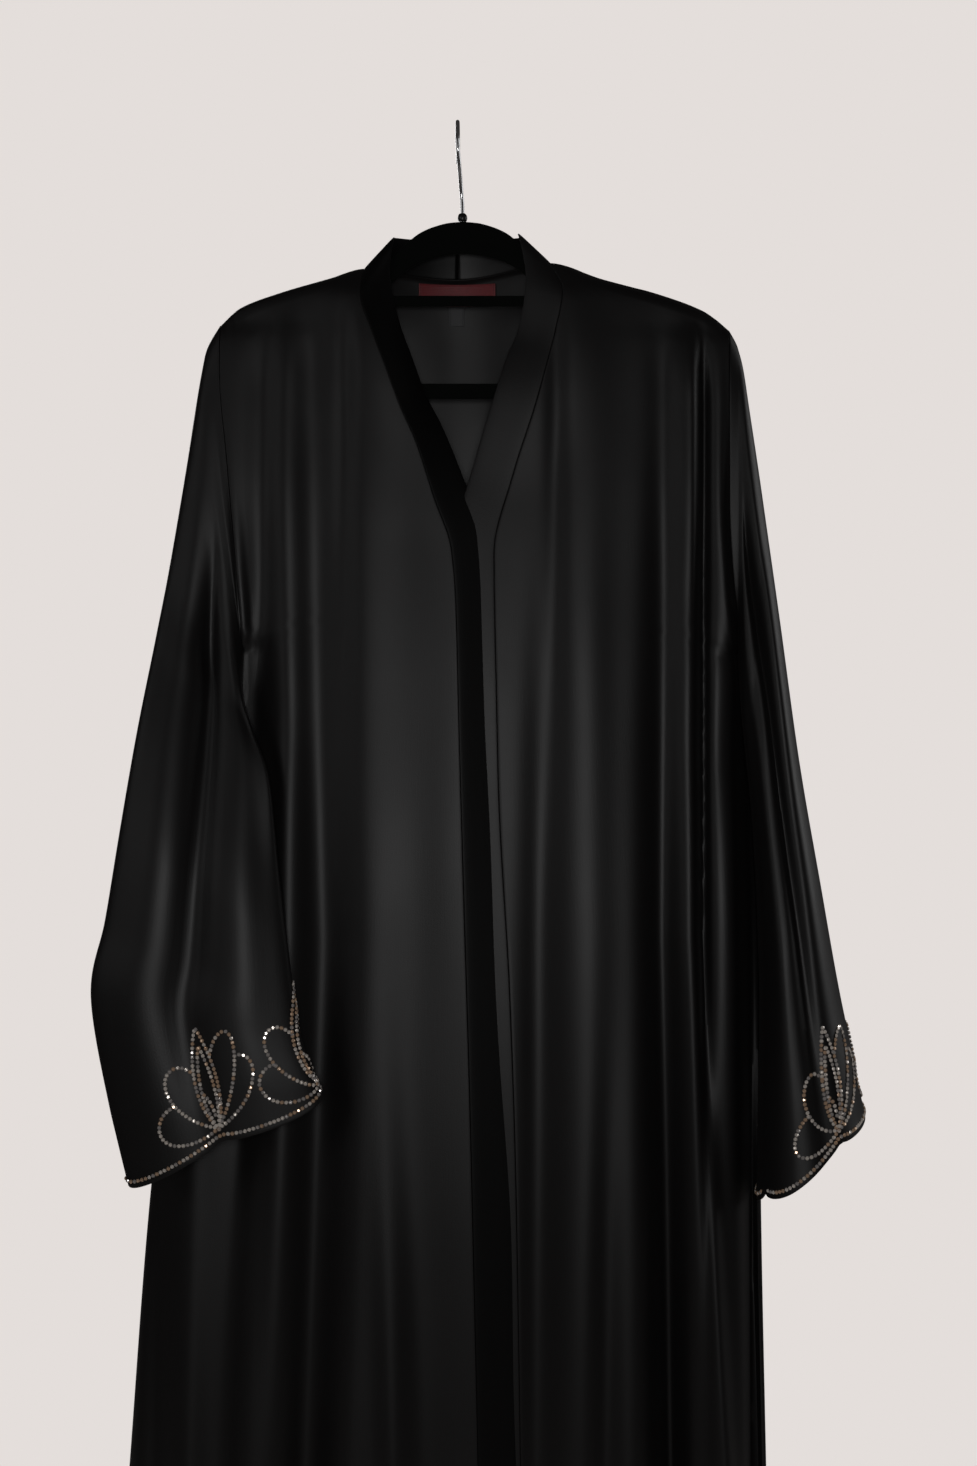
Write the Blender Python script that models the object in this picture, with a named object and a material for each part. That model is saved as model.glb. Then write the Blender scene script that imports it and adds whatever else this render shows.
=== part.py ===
"""Open-front abaya cloak on a slim flocked hanger with a wire hook.

Each cut piece of cloth is a closed wall of its own, worked out from the garment's outline, its depth
and a table of folds. Tables are in millimetres: x to the wearer's left, drop below the hook's seat,
depth and lift away from the plane of the hanger. The model is in metres, +Z up, front towards -Y.
"""
import math

import bmesh
import bpy
import numpy as np

MM = 0.001
SEAM_GAP = 0.3
CLOTH = 1.5
BAND_CLOTH = 2.0
LABEL_CLOTH = 1.0
BAND_CLEAR = 1.1
LABEL_CLEAR = 0.9

HEM_DROP = 1603.0
SHOULDER_ROLL = 4.0
SEAM_HALF = 0.6
UNDERARM_RUN = 276.0
ARMHOLE_HALF = 13.0
NECK_BULGE = 26.0
LAP_LIFT = 6.0
SIDE_LEAN = {'right': 9.0, 'left': -13.0}
SIDE_REACH = 40.0
NECK_LIFT = {'right': 9.0, 'left': 5.0}

HANGER_X = 4.0
HANGER_HALF = 210.0
HANGER_THICK = 4.6
HANGER_ARM = 20.0
HANGER_BELOW_CLOTH = 2.6
HANGER_EDGE = 1.2
TIP_ROUND = 6.0
HOOK_WIRE = 3.4
HOOK_INNER = 19.0
HOOK_ROOT_X = 3.5
HOOK_TURN = 205


def table(names, *rows):
    """Columns of numbers by name, from one row for each section or fold."""
    return dict(zip(names.split(), np.array(rows, float).T))


# The shoulder line over the hanger and the back neck curve between its two neck points
SHOULDER = table(
    'x drop',
    (-205, 174), (-188, 159), (-156, 147), (-110, 134), (-81, 125), (-1, 128.5),
    (79, 120), (120, 134), (172, 148), (209, 161), (222, 169), (233, 178))
NECK = {'right': -81.0, 'centre': -1.0, 'left': 79.0}

# Outline of the body: armhole above the underarm, folded side edge below it
RIGHT_SIDE = table(
    'drop x',
    (174, -205), (214, -205), (293, -198), (381, -189), (450, -180), (475, -184), (503, -189),
    (584, -212), (757, -243), (913, -264), (1159, -283), (1603, -316))
LEFT_SIDE = table(
    'drop x',
    (178, 233), (324, 233), (413, 236), (454, 238), (500, 244.5), (552, 252), (626, 259),
    (690, 262), (795, 262.5), (900, 262), (964, 262.5), (1159, 265), (1603, 274))

# How far the front and the back hang out from the plane of the hanger
BODY_DEPTH = table(
    'drop front back',
    (120, 4, 4), (180, 11, 12), (250, 16, 18), (373, 25, 27), (493, 33, 34), (744, 44, 45),
    (950, 51, 53), (1200, 56, 60), (1603, 62, 70))

# Folds, a row for each: where its line runs at three heights, its reach to each side, and how far it
# stands out (or in, when negative) at those heights
FOLD_COLUMNS = 'x250 x700 x1160 reach_low_x reach_high_x out250 out700 out1160'
FOLD_DROPS = (250.0, 700.0, 1160.0)
FRONT_RIGHT_FOLDS = table(
    FOLD_COLUMNS,
    (-168, -176, -196, 14, 12, -4, -6, -4),
    (-149, -148, -160, 12, 12, 3, 8, 3),
    (-127, -114, -127, 16, 13, -3, -14, -20),
    (-97, -97, -97, 9, 9, -3, 0, 0),
    (-84, -85, -94, 12, 30, 2, 8, 14),
    (-62, -62, -52, 14, 16, 0, 0, 12),
    (-178, -178, -177, 18, 18, 0, 0, 8),
    (-226, -226, -229, 16, 14, 0, 2, 8),
    (-256, -256, -257, 8, 10, 0, 0, -5))
FRONT_LEFT_FOLDS = table(
    FOLD_COLUMNS,
    (84, 80, 80, 9, 9, -3, 0, 0),
    (75, 69, 67, 14, 16, 0, -5, -8),
    (110, 113, 104, 26, 22, 2, 7, 8),
    (125, 125, 124, 10, 10, 0, 0, -5),
    (146, 148, 146, 18, 18, 0, 3, 8),
    (176, 173, 181, 13, 12, -3, -9, -26),
    (200, 198, 226, 16, 8, 7, 10, 16),
    (213, 211, 212, 7, 7, -8, -9, 0),
    (223, 228, 236, 7, 8, 2, 8, 4),
    (250, 246, 253, 9, 9, 0, -12, -30))
BACK_FOLDS = table(
    FOLD_COLUMNS,
    (-172, -190, -212, 16, 14, -5, -10, -12),
    (-140, -152, -168, 18, 16, 3, 8, 9),
    (-106, -108, -118, 14, 18, -3, -10, -18),
    (-70, -66, -75, 18, 22, 2, 7, 12),
    (-22, -15, -22, 20, 16, -1, -8, -16),
    (25, 30, 28, 22, 20, 1, 7, 10),
    (70, 74, 82, 14, 18, -3, -12, -20),
    (115, 120, 118, 20, 18, 3, 8, 12),
    (160, 158, 170, 16, 14, -4, -9, -18),
    (200, 205, 216, 16, 12, -4, -3, 7))

# Runs below the shoulder seam at which a panel's rows lie
ROW_RUNS = (0, 1.5, 4.5, 12, 32, 65, 105, 150, 200, 240, 262, UNDERARM_RUN, 294, 325, 370, 430, 510,
            610, 720, 850, 990, 1130, 1280, 1429)
FRONT_COLUMNS = 26
BACK_SHOULDER_COLUMNS = 8
BACK_NECK_COLUMNS = 5

# Front bands: the seam's line, the free edge's line, and how far behind the seam the free edge lies
BAND_COLUMNS = 'seam_x seam_drop free_x free_drop behind'
RIGHT_BAND = table(
    BAND_COLUMNS,
    (-81, 125, -55, 97, 0), (-83, 136, -57, 107, 2), (-84, 149, -59, 128, 8), (-74, 181, -53, 164, 13),
    (-63, 210, -40, 202, 14), (-49, 248, -27, 237, 12), (-37, 275, -16, 258, 8), (-20, 327, 5, 309, 4),
    (-6, 368, 21, 356, 3), (-2, 415, 26, 410, 3), (1, 528, 29.5, 528, 3), (5, 666, 36, 666, 3),
    (10, 834, 43, 834, 3), (13, 958, 47, 958, 3), (17, 1138, 49, 1138, 3), (24, 1603, 56, 1603, 3))
LEFT_BAND = table(
    BAND_COLUMNS,
    (79, 120, 51, 93, 0), (84, 130, 54, 106, 1), (90, 144, 58, 131, 3), (84, 179, 52, 177, 4),
    (76, 210, 42, 202, 4), (67, 243, 32, 233, 3), (47, 306, 15, 290, 2), (31, 373, -1, 360, 1),
    (33, 493, -1, 493, 1), (35, 581, 1, 581, 1), (44, 744, 9, 744, 1), (49, 894, 14, 894, 1),
    (53, 1140, 18, 1140, 1), (59, 1603, 24, 1603, 1))
# The collar behind the neck: its free edge for a few places along the back neck seam, where share 0
# is the neck point and share 1 the centre back
COLLAR = table(
    'share free_share drop y',
    (0, 0.32, 97, 3), (0.25, 0.5, 96, 13), (0.6, 0.76, 95, 20), (1, 1, 95, 22))

# Sleeves, a row for each ring from just past the armhole to the hem: the ends of its flattened
# section, how far each lies in front of the hanger's plane, and half its thickness
SLEEVE_COLUMNS = 'outer_x outer_drop inner_x inner_drop outer_front inner_front half'
RIGHT_SLEEVE = table(
    SLEEVE_COLUMNS,
    (-217, 191, -186.5, 456, 0, 9, 14), (-223, 225, -188, 474, 2, 14.5, 14),
    (-234, 298, -184.5, 500, 5, 25, 13), (-248, 385, -173, 528, 10, 35, 12),
    (-258, 445, -160, 562, 20, 45, 12), (-271, 525, -150, 640, 38, 57, 13),
    (-284, 616, -142, 700, 54, 64, 14), (-294, 683, -136, 745, 60, 68, 15),
    (-305, 741, -131, 775, 64, 70, 16), (-289, 835, -121, 805, 68, 72, 16),
    (-273, 896, -112, 824, 70, 72, 15))
LEFT_SLEEVE = table(
    SLEEVE_COLUMNS,
    (240, 189, 242.5, 460, 0, 2, 13), (245, 208, 244.5, 480, 0, 5, 15), (251, 247, 247, 505, 0, 9, 18),
    (262, 322, 252, 545, 0, 14, 24), (276, 428, 257, 600, 5, 20, 32), (292, 549, 260, 680, 8, 25, 40),
    (309, 652, 260.5, 760, 12, 30, 47), (327, 755, 258, 840, 15, 34, 53), (346, 840, 254, 912, 20, 38, 57))
# Sleeve folds: place across the flattened section (0 outer, 1 inner) at the top and at the cuff,
# reach, and how far it stands out on the front face and on the back face
SLEEVE_FOLDS = table(
    'top_place cuff_place reach front_out back_out',
    (0.50, 0.44, 0.09, -8, -2), (0.22, 0.20, 0.10, 3, 2),
    (0.80, 0.76, 0.10, 3, -6), (0.36, 0.42, 0.10, 0, -5))
SLEEVE_RINGS = 20
SCALLOPS = 4
SCALLOP_DEEP = 8.0

# Hanger: top and bottom of the crown, by distance from its middle; the arms follow the shoulder line
CROWN = table(
    'off top bottom',
    (0, 84, 111.5), (12, 85, 112.5), (24, 88, 115), (36, 93, 119), (47, 101, 125), (57, 110, 133),
    (68, 119.5, 143), (74, 124.5, 146), (80, 129.5, 149))
TIE_BAR = {'top': 148.0, 'bottom': 157.0}
TROUSER_BAR = {'top': 224.0, 'bottom': 237.0, 'half': 196.0}

COLOURS = {
    'cloth': (0.012, 0.011, 0.011), 'velvet': (0.008, 0.009, 0.008), 'chrome': (0.8, 0.8, 0.8),
    'plastic': (0.01, 0.01, 0.01), 'red': (0.18, 0.008, 0.012), 'grey': (0.03, 0.03, 0.03)}


def smooth(at, stations, values):
    """Cubic curve through a table's column that keeps the column's own highs and lows."""
    step = np.diff(stations)
    slope = np.diff(values) / step
    tangent = np.concatenate(([slope[0]], np.zeros(len(slope) - 1), [slope[-1]]))
    for row in range(1, len(slope)):
        before, after = slope[row - 1], slope[row]
        if before * after > 0:
            tangent[row] = 2 * before * after / (before + after)
    at = np.clip(at, stations[0], stations[-1])
    row = np.clip(np.searchsorted(stations, at, side='right') - 1, 0, len(step) - 1)
    t = (at - stations[row]) / step[row]
    start = values[row] * (1 + 2 * t) * (1 - t) ** 2 + tangent[row] * step[row] * t * (1 - t) ** 2
    end = values[row + 1] * t ** 2 * (3 - 2 * t) - tangent[row + 1] * step[row] * t ** 2 * (1 - t)
    return start + end


def ease(value, low, high):
    """Share from 0 to 1 that rises gently between low and high."""
    t = np.clip((value - low) / (high - low), 0, 1)
    return t * t * (3 - 2 * t)


def shoulder_drop(x):
    return smooth(x, SHOULDER['x'], SHOULDER['drop'])


def side_x(side, drop):
    return smooth(drop, side['drop'], side['x'])


def fold_out(folds, x, drop):
    """Sum of the folds at a place on a panel."""
    total = np.zeros_like(x)
    for row in range(len(folds['x250'])):
        line = np.array([folds['x250'][row], folds['x700'][row], folds['x1160'][row]])
        out = np.array([folds['out250'][row], folds['out700'][row], folds['out1160'][row]])
        centre = np.interp(drop, FOLD_DROPS, line)
        low_end = drop - FOLD_DROPS[2]
        centre = centre + np.where(low_end > 0, low_end * (line[2] - line[1]) / 900, 0)
        height = smooth(drop, np.array(FOLD_DROPS), out) * (1 + 0.15 * ease(drop, 1160, HEM_DROP))
        reach = np.where(x < centre, folds['reach_low_x'][row], folds['reach_high_x'][row])
        total += height * np.exp(-((x - centre) / reach) ** 2)
    return total


def body_out(face, folds, x, drop):
    """Distance of a panel from the plane of the hanger, at its own side of it."""
    low_x, high_x = side_x(RIGHT_SIDE, drop), side_x(LEFT_SIDE, drop)
    across = np.clip((2 * x - low_x - high_x) / (high_x - low_x), -1, 1)
    run = np.maximum(drop - shoulder_drop(x), 0)
    roll = np.sqrt(1 - (1 - np.clip(run / SHOULDER_ROLL, 0, 1)) ** 2)
    tip = np.where(x < NECK['centre'], RIGHT_SIDE['drop'][0], LEFT_SIDE['drop'][0])
    armhole_share = np.clip((drop - tip) / UNDERARM_RUN, 0, 1)
    edge = ARMHOLE_HALF * (4 * armhole_share * (1 - armhole_share)) ** 0.25
    edge = np.where(armhole_share < 0.5, np.maximum(edge, SHOULDER_ROLL), edge)
    closed = ease(drop, 430, 480)
    power = 2.2 + 0.8 * ease(drop, 500, 750)
    closing = (1 - closed) * (1 - across ** 4) + closed * (1 - np.abs(across) ** power) ** (1 / power)
    depth = smooth(drop, BODY_DEPTH['drop'], BODY_DEPTH[face])
    from_side = np.minimum(x - low_x, high_x - x)
    base = (edge + (depth - edge) * closing) * roll
    crease = fold_out(folds, x, drop) * ease(run, 0, 80) * ease(from_side, 0, 9)
    return SEAM_HALF + base + np.maximum(crease, -0.7 * base)


def side_lean(x, drop):
    """How far forward the right side hangs at its underarm, and how far back the left side below its own."""
    near_right = np.exp(-((x - side_x(RIGHT_SIDE, drop)) / SIDE_REACH) ** 2)
    near_left = np.exp(-((x - side_x(LEFT_SIDE, drop)) / SIDE_REACH) ** 2)
    right = SIDE_LEAN['right'] * ease(drop, 200, 440) * (1 - ease(drop, 450, 545)) * near_right
    return right + SIDE_LEAN['left'] * ease(drop, 462, 560) * (1 - ease(drop, 900, 1200)) * near_left


def front_y(x, drop, folds, seam):
    """The front's place in depth; the overlapping panel rides up beside its own band."""
    side = 'right' if seam is RIGHT_BAND else 'left'
    seam_x = smooth(drop, seam['seam_drop'], seam['seam_x'])
    lift = NECK_LIFT[side] * ease(drop, 122, 150) * (1 - ease(drop, 220, 330))
    if side == 'right':
        lift = lift + LAP_LIFT * ease(drop, 230, 330)
    beside_seam = np.exp(-((x - seam_x) / 45) ** 2)
    return -body_out('front', folds, x, drop) - lift * beside_seam - side_lean(x, drop)


def back_y(x, drop):
    """The back's place in depth; it bows back round the neck."""
    neck_half = (NECK['left'] - NECK['right']) / 2
    across = np.clip((x - NECK['centre']) / neck_half, -1, 1)
    run = np.maximum(drop - shoulder_drop(x), 0)
    bow = NECK_BULGE * (1 - across ** 2) ** 1.2 * np.exp(-run / 260)
    return body_out('back', BACK_FOLDS, x, drop) + bow - side_lean(x, drop)


def panel_grid(top_xs, low_edge, high_edge, depth_at):
    """Rows of points from the shoulder seam to the hem, their columns spaced along the cloth."""
    fine = np.linspace(0, 1, 400)
    columns = np.linspace(0, 1, len(top_xs))
    top_share = (top_xs - top_xs[0]) / (top_xs[-1] - top_xs[0])
    rows = []
    for run in ROW_RUNS:
        top_x = np.interp(fine, columns, top_xs)
        top = shoulder_drop(top_x)
        drop = top + run * (HEM_DROP - top) / ROW_RUNS[-1]
        if run == ROW_RUNS[-1]:
            drop = np.full_like(drop, HEM_DROP)
        x = low_edge(drop) + (high_edge(drop) - low_edge(drop)) * np.interp(fine, columns, top_share)
        y = depth_at(x, drop)
        length = np.concatenate(([0], np.cumsum(np.hypot(np.diff(x), np.diff(y)))))
        along_cloth = np.interp(columns * length[-1], length, fine)
        pick = columns + (along_cloth - columns) * ease(run, 60, 320)
        x, drop = np.interp(pick, fine, x), np.interp(pick, fine, drop)
        rows.append(np.stack([x, depth_at(x, drop), -drop], axis=1))
    return np.array(rows)


def front_grid(side, seam, folds):
    """Front panel from its side to its band's seam."""
    seam_top = seam['seam_x'][0]
    top_xs = np.linspace(side['x'][0], seam_top, FRONT_COLUMNS + 1)

    def side_edge(drop):
        return side_x(side, drop)

    def seam_edge(drop):
        return smooth(drop, seam['seam_drop'], seam['seam_x'])

    def depth_at(x, drop):
        return front_y(x, drop, folds, seam)

    return panel_grid(top_xs, side_edge, seam_edge, depth_at)


def back_grid():
    """Back panel from side to side, with a column on each neck point and one at the centre."""
    stops = (RIGHT_SIDE['x'][0], NECK['right'], NECK['centre'], NECK['left'], LEFT_SIDE['x'][0])
    counts = (BACK_SHOULDER_COLUMNS, BACK_NECK_COLUMNS, BACK_NECK_COLUMNS, BACK_SHOULDER_COLUMNS)
    top_xs = [stops[0]]
    for start, end, count in zip(stops, stops[1:], counts):
        top_xs.extend(np.linspace(start, end, count + 1)[1:])

    def low_edge(drop):
        return side_x(RIGHT_SIDE, drop)

    def high_edge(drop):
        return side_x(LEFT_SIDE, drop)

    return panel_grid(np.array(top_xs), low_edge, high_edge, back_y)


def underarm_row():
    return ROW_RUNS.index(UNDERARM_RUN)


def sleeve_rings(front_edge, back_edge, rows, outward):
    """Rings of a sleeve: first the armhole's own points, then flattened sections down to the hem."""
    last = underarm_row()
    front, back = front_edge[:last + 1].copy(), back_edge[:last + 1].copy()
    along_edge = np.linspace(0, 1, last + 1)
    low = ease(along_edge, 0.7, 1)
    for edge in (front, back):
        edge[:, 0] += outward * (0.7 + 0.7 * (1 - ease(along_edge, 0, 0.4)) + 1.1 * low)
        edge[:, 2] += 1.5 * low
    top, bottom = (front[0] + back[0]) / 2, (front[-1] + back[-1]) / 2
    armhole = np.vstack(([top], front[1:-1], [bottom], back[-2:0:-1]))
    along = np.array(ROW_RUNS[:last + 1]) / UNDERARM_RUN
    even = (1 - np.cos(np.linspace(0, math.pi, last + 1))) / 2
    stations = np.arange(1, len(rows['half']) + 1, dtype=float)
    rings = [armhole]
    for t in np.linspace(1, len(rows['half']), SLEEVE_RINGS):
        at = {name: smooth(t, stations, rows[name]) for name in rows}
        share = along + (even - along) * ease(t, 1, 4)
        thick = at['half'] * (1 - np.abs(2 * share - 1) ** 2.2) ** (1 / 2.2)
        down = (t - 1) / (len(rows['half']) - 1)
        x = at['outer_x'] + (at['inner_x'] - at['outer_x']) * share
        drop = at['outer_drop'] + (at['inner_drop'] - at['outer_drop']) * share
        turned = share ** (5 - 4 * ease(t, 4, 7))
        middle = -(at['outer_front'] + (at['inner_front'] - at['outer_front']) * turned)
        faces = []
        for sign, out in ((-1, 'front_out'), (1, 'back_out')):
            fold = np.zeros_like(share)
            for row in range(len(SLEEVE_FOLDS['reach'])):
                place = SLEEVE_FOLDS['top_place'][row]
                place += (SLEEVE_FOLDS['cuff_place'][row] - place) * down
                fold += SLEEVE_FOLDS[out][row] * np.exp(-((share - place) / SLEEVE_FOLDS['reach'][row]) ** 2)
            fold *= ease(down, 0.1, 0.35) * (1 - 0.7 * ease(down, 0.72, 1)) * np.sin(math.pi * share) ** 0.5
            faces.append(np.stack([x, middle + sign * (thick + fold), -drop], axis=1))
        ring = np.vstack((faces[0], faces[1][-2:0:-1]))
        if t == len(rows['half']):
            ring[:, 2] -= scallop(len(ring))
        rings.append(ring)
    return np.array(rings)


def scallop(count):
    """How far each point of the hem hangs below its ring."""
    turns = np.arange(count) / count * SCALLOPS
    return SCALLOP_DEEP * np.abs(np.sin(math.pi * turns))


def band_grid(panel_edge, neck_edge, rows, neck_x, reach_steps=3):
    """A band from the centre back round the neck and down the front to the hem."""
    stations = []
    collar_half = NECK['centre'] - neck_x
    for point in neck_edge:
        share = float(np.clip((point[0] - neck_x) / collar_half, 0, 1))
        free_x = neck_x + collar_half * smooth(share, COLLAR['share'], COLLAR['free_share'])
        free_y = smooth(share, COLLAR['share'], COLLAR['y'])
        free = np.array([free_x, free_y, -smooth(share, COLLAR['share'], COLLAR['drop'])])
        stations.append((point, free))
    for point in panel_edge[1:]:
        drop = -point[2]
        free_x = smooth(drop, rows['seam_drop'], rows['free_x'])
        free_drop = smooth(drop, rows['seam_drop'], rows['free_drop'])
        behind = smooth(drop, rows['seam_drop'], rows['behind'])
        stations.append((point, np.array([free_x, point[1] + behind, -free_drop])))
    grid = []
    for seam, free in stations:
        across = free - seam
        start = seam + across * BAND_CLEAR / np.linalg.norm(across)
        grid.append([start + (free - start) * share for share in np.linspace(0, 1, reach_steps + 1)])
    return np.array(grid)


def label_grid(left, right, top, bottom):
    """A label that lies on the inner face of the back panel."""
    stand_off = CLOTH / 2 + LABEL_CLOTH / 2 + LABEL_CLEAR
    rows = []
    for drop in np.linspace(top, bottom, 3):
        xs = np.linspace(left, right, 7)
        ys = back_y(xs, np.full_like(xs, drop)) - stand_off
        rows.append(np.stack([xs, ys, np.full_like(xs, -drop)], axis=1))
    return np.array(rows)


def material(name, colour, roughness, metallic=0.0):
    mat = bpy.data.materials.new(name)
    mat.use_nodes = True
    shader = mat.node_tree.nodes['Principled BSDF']
    shader.inputs['Base Color'].default_value = (*colour, 1)
    shader.inputs['Roughness'].default_value = roughness
    shader.inputs['Metallic'].default_value = metallic
    return mat


def add_object(name, mesh, mat):
    mesh.materials.append(mat)
    mesh.shade_smooth()
    obj = bpy.data.objects.new(name, mesh)
    bpy.context.collection.objects.link(obj)
    return obj


def cloth_object(name, grid, thickness, mat, closed=False):
    """A grid of points in millimetres as a wall of cloth; closed joins each row's ends."""
    rows, columns = grid.shape[:2]
    wrap = columns if closed else columns - 1
    faces = []
    for row in range(rows - 1):
        for column in range(wrap):
            after = (column + 1) % columns
            faces.append((row * columns + column, row * columns + after,
                          (row + 1) * columns + after, (row + 1) * columns + column))
    mesh = bpy.data.meshes.new(name)
    mesh.from_pydata((grid.reshape(-1, 3) * MM).tolist(), [], faces)
    obj = add_object(name, mesh, mat)
    wall = obj.modifiers.new('wall', 'SOLIDIFY')
    wall.thickness = thickness * MM
    wall.offset = 0
    return obj


def plate(name, outline, thickness, mat=None):
    """A flat plate in the plane of the hanger, from its outline in millimetres."""
    shape = bmesh.new()
    half = thickness / 2 * MM
    front = [shape.verts.new((x * MM, -half, -drop * MM)) for x, drop in outline]
    face = shape.faces.new(front)
    swept = bmesh.ops.extrude_face_region(shape, geom=[face])
    back = [item for item in swept['geom'] if isinstance(item, bmesh.types.BMVert)]
    bmesh.ops.translate(shape, verts=back, vec=(0, 2 * half, 0))
    bmesh.ops.recalc_face_normals(shape, faces=shape.faces)
    mesh = bpy.data.meshes.new(name)
    shape.to_mesh(mesh)
    shape.free()
    return add_object(name, mesh, mat or material(name, COLOURS['velvet'], 0.9))


def arm_edges():
    """Top and bottom edge of the hanger from tip to tip, as lists of x and drop."""
    offs = np.concatenate((CROWN['off'], np.linspace(96, HANGER_HALF, 8)))
    top, bottom = [], []
    for sign in (-1, 1):
        for off in offs[::-1] if sign < 0 else offs[1:]:
            x = HANGER_X + sign * off
            if off <= CROWN['off'][-1]:
                high = np.interp(off, CROWN['off'], CROWN['top'])
                low = np.interp(off, CROWN['off'], CROWN['bottom'])
            else:
                under_seam = shoulder_drop(x) + HANGER_BELOW_CLOTH
                high = under_seam + TIP_ROUND * ease(off, HANGER_HALF - 2 * TIP_ROUND, HANGER_HALF)
                low = under_seam + HANGER_ARM
            top.append((x, high))
            bottom.append((x, low))
    return top, bottom


def hanger(mat):
    """Crown, arms, tie bar and trouser bar in one flat piece with two openings."""
    top, bottom = arm_edges()
    half = TROUSER_BAR['half']
    low, high = TROUSER_BAR['bottom'], TROUSER_BAR['top']
    foot = [(HANGER_HALF - TIP_ROUND, bottom[-1][1] + TIP_ROUND), (half + 8, low - 9), (half, low)]
    right_foot = [(HANGER_X + off, drop) for off, drop in foot]
    left_foot = [(HANGER_X - off, drop) for off, drop in reversed(foot)]
    body = plate('hanger', top + right_foot + left_foot, HANGER_THICK, mat)
    tie_top, tie_low = TIE_BAR['top'], TIE_BAR['bottom']
    above = [(x, drop) for x, drop in bottom if drop < tie_top - 1]
    below = [(x, drop) for x, drop in bottom if drop > tie_low + 1]
    lower_left = [point for point in below if point[0] < HANGER_X][1:]
    lower_right = [point for point in below if point[0] > HANGER_X][:-1]
    bar_end = half - 12
    tie_ends = [(lower_left[-1][0], tie_low), (lower_right[0][0], tie_low)]
    corners = [(bar_end, high - 6), (bar_end - 8, high)]
    right_corners = [(HANGER_X + off, drop) for off, drop in corners]
    left_corners = [(HANGER_X - off, drop) for off, drop in reversed(corners)]
    cuts = {
        'upper_opening': above + [(above[-1][0], tie_top), (above[0][0], tie_top)],
        'lower_opening': lower_left + tie_ends + lower_right + right_corners + left_corners}
    for name, outline in cuts.items():
        cutter = plate(name, outline, 3 * HANGER_THICK)
        cutter.hide_render = True
        cutter.display_type = 'WIRE'
        cut = body.modifiers.new(name, 'BOOLEAN')
        cut.operation = 'DIFFERENCE'
        cut.object = cutter
    edge = body.modifiers.new('edge', 'BEVEL')
    edge.width = HANGER_EDGE * MM
    edge.segments = 1
    edge.limit_method = 'ANGLE'
    edge.angle_limit = math.radians(60)
    return body


def hook_route():
    """Centre line of the hook's wire in millimetres, from its root up and over the seat."""
    radius = HOOK_INNER + HOOK_WIRE / 2
    points = [(HOOK_ROOT_X, 0, -76.7), (3.2, 0, -66)]
    for share in np.linspace(0.15, 0.9, 6):
        bend = ease(share, 0, 1)
        points.append((3.2 - 3.7 * share, -radius * bend, -66 + 44 * share))
    for angle in np.linspace(0, HOOK_TURN, 19):
        turn = math.radians(angle)
        points.append((-0.6, -radius * math.cos(turn), -HOOK_INNER + radius * math.sin(turn)))
    return points


def hook(mat):
    route = hook_route()
    curve = bpy.data.curves.new('hanger_hook', 'CURVE')
    curve.dimensions = '3D'
    curve.bevel_depth = HOOK_WIRE / 2 * MM
    curve.bevel_resolution = 2
    curve.use_fill_caps = True
    line = curve.splines.new('POLY')
    line.points.add(len(route) - 1)
    for point, (x, y, z) in zip(line.points, route):
        point.co = (x * MM, y * MM, z * MM, 1)
        point.radius = 1
    curve.materials.append(mat)
    obj = bpy.data.objects.new('hanger_hook', curve)
    bpy.context.collection.objects.link(obj)
    return obj


def ferrule(mat):
    """Small turned collar on the crown, at the hook's root."""
    profile = table('radius height', (2.9, -83.7), (3.9, -82.6), (4.2, -80.6), (3.7, -78.5), (2.6, -77.0))
    sides = 12
    turns = [2 * math.pi * side / sides for side in range(sides)]
    shape = bmesh.new()
    rings = []
    for radius, height in zip(profile['radius'], profile['height']):
        places = [(HOOK_ROOT_X + radius * math.cos(turn), radius * math.sin(turn), height) for turn in turns]
        rings.append([shape.verts.new((x * MM, y * MM, z * MM)) for x, y, z in places])
    for low, high in zip(rings, rings[1:]):
        for side in range(sides):
            after = (side + 1) % sides
            shape.faces.new((low[side], low[after], high[after], high[side]))
    shape.faces.new(rings[0][::-1])
    shape.faces.new(rings[-1])
    mesh = bpy.data.meshes.new('hanger_ferrule')
    shape.to_mesh(mesh)
    shape.free()
    return add_object('hanger_ferrule', mesh, mat)


def add_cloth(name, grid, thickness, colour='cloth', roughness=0.5, closed=False):
    """A cloth piece in a material of its own name and one of the named colours."""
    return cloth_object(name, grid, thickness, material(f'{name}_cloth', COLOURS[colour], roughness), closed)


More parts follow.
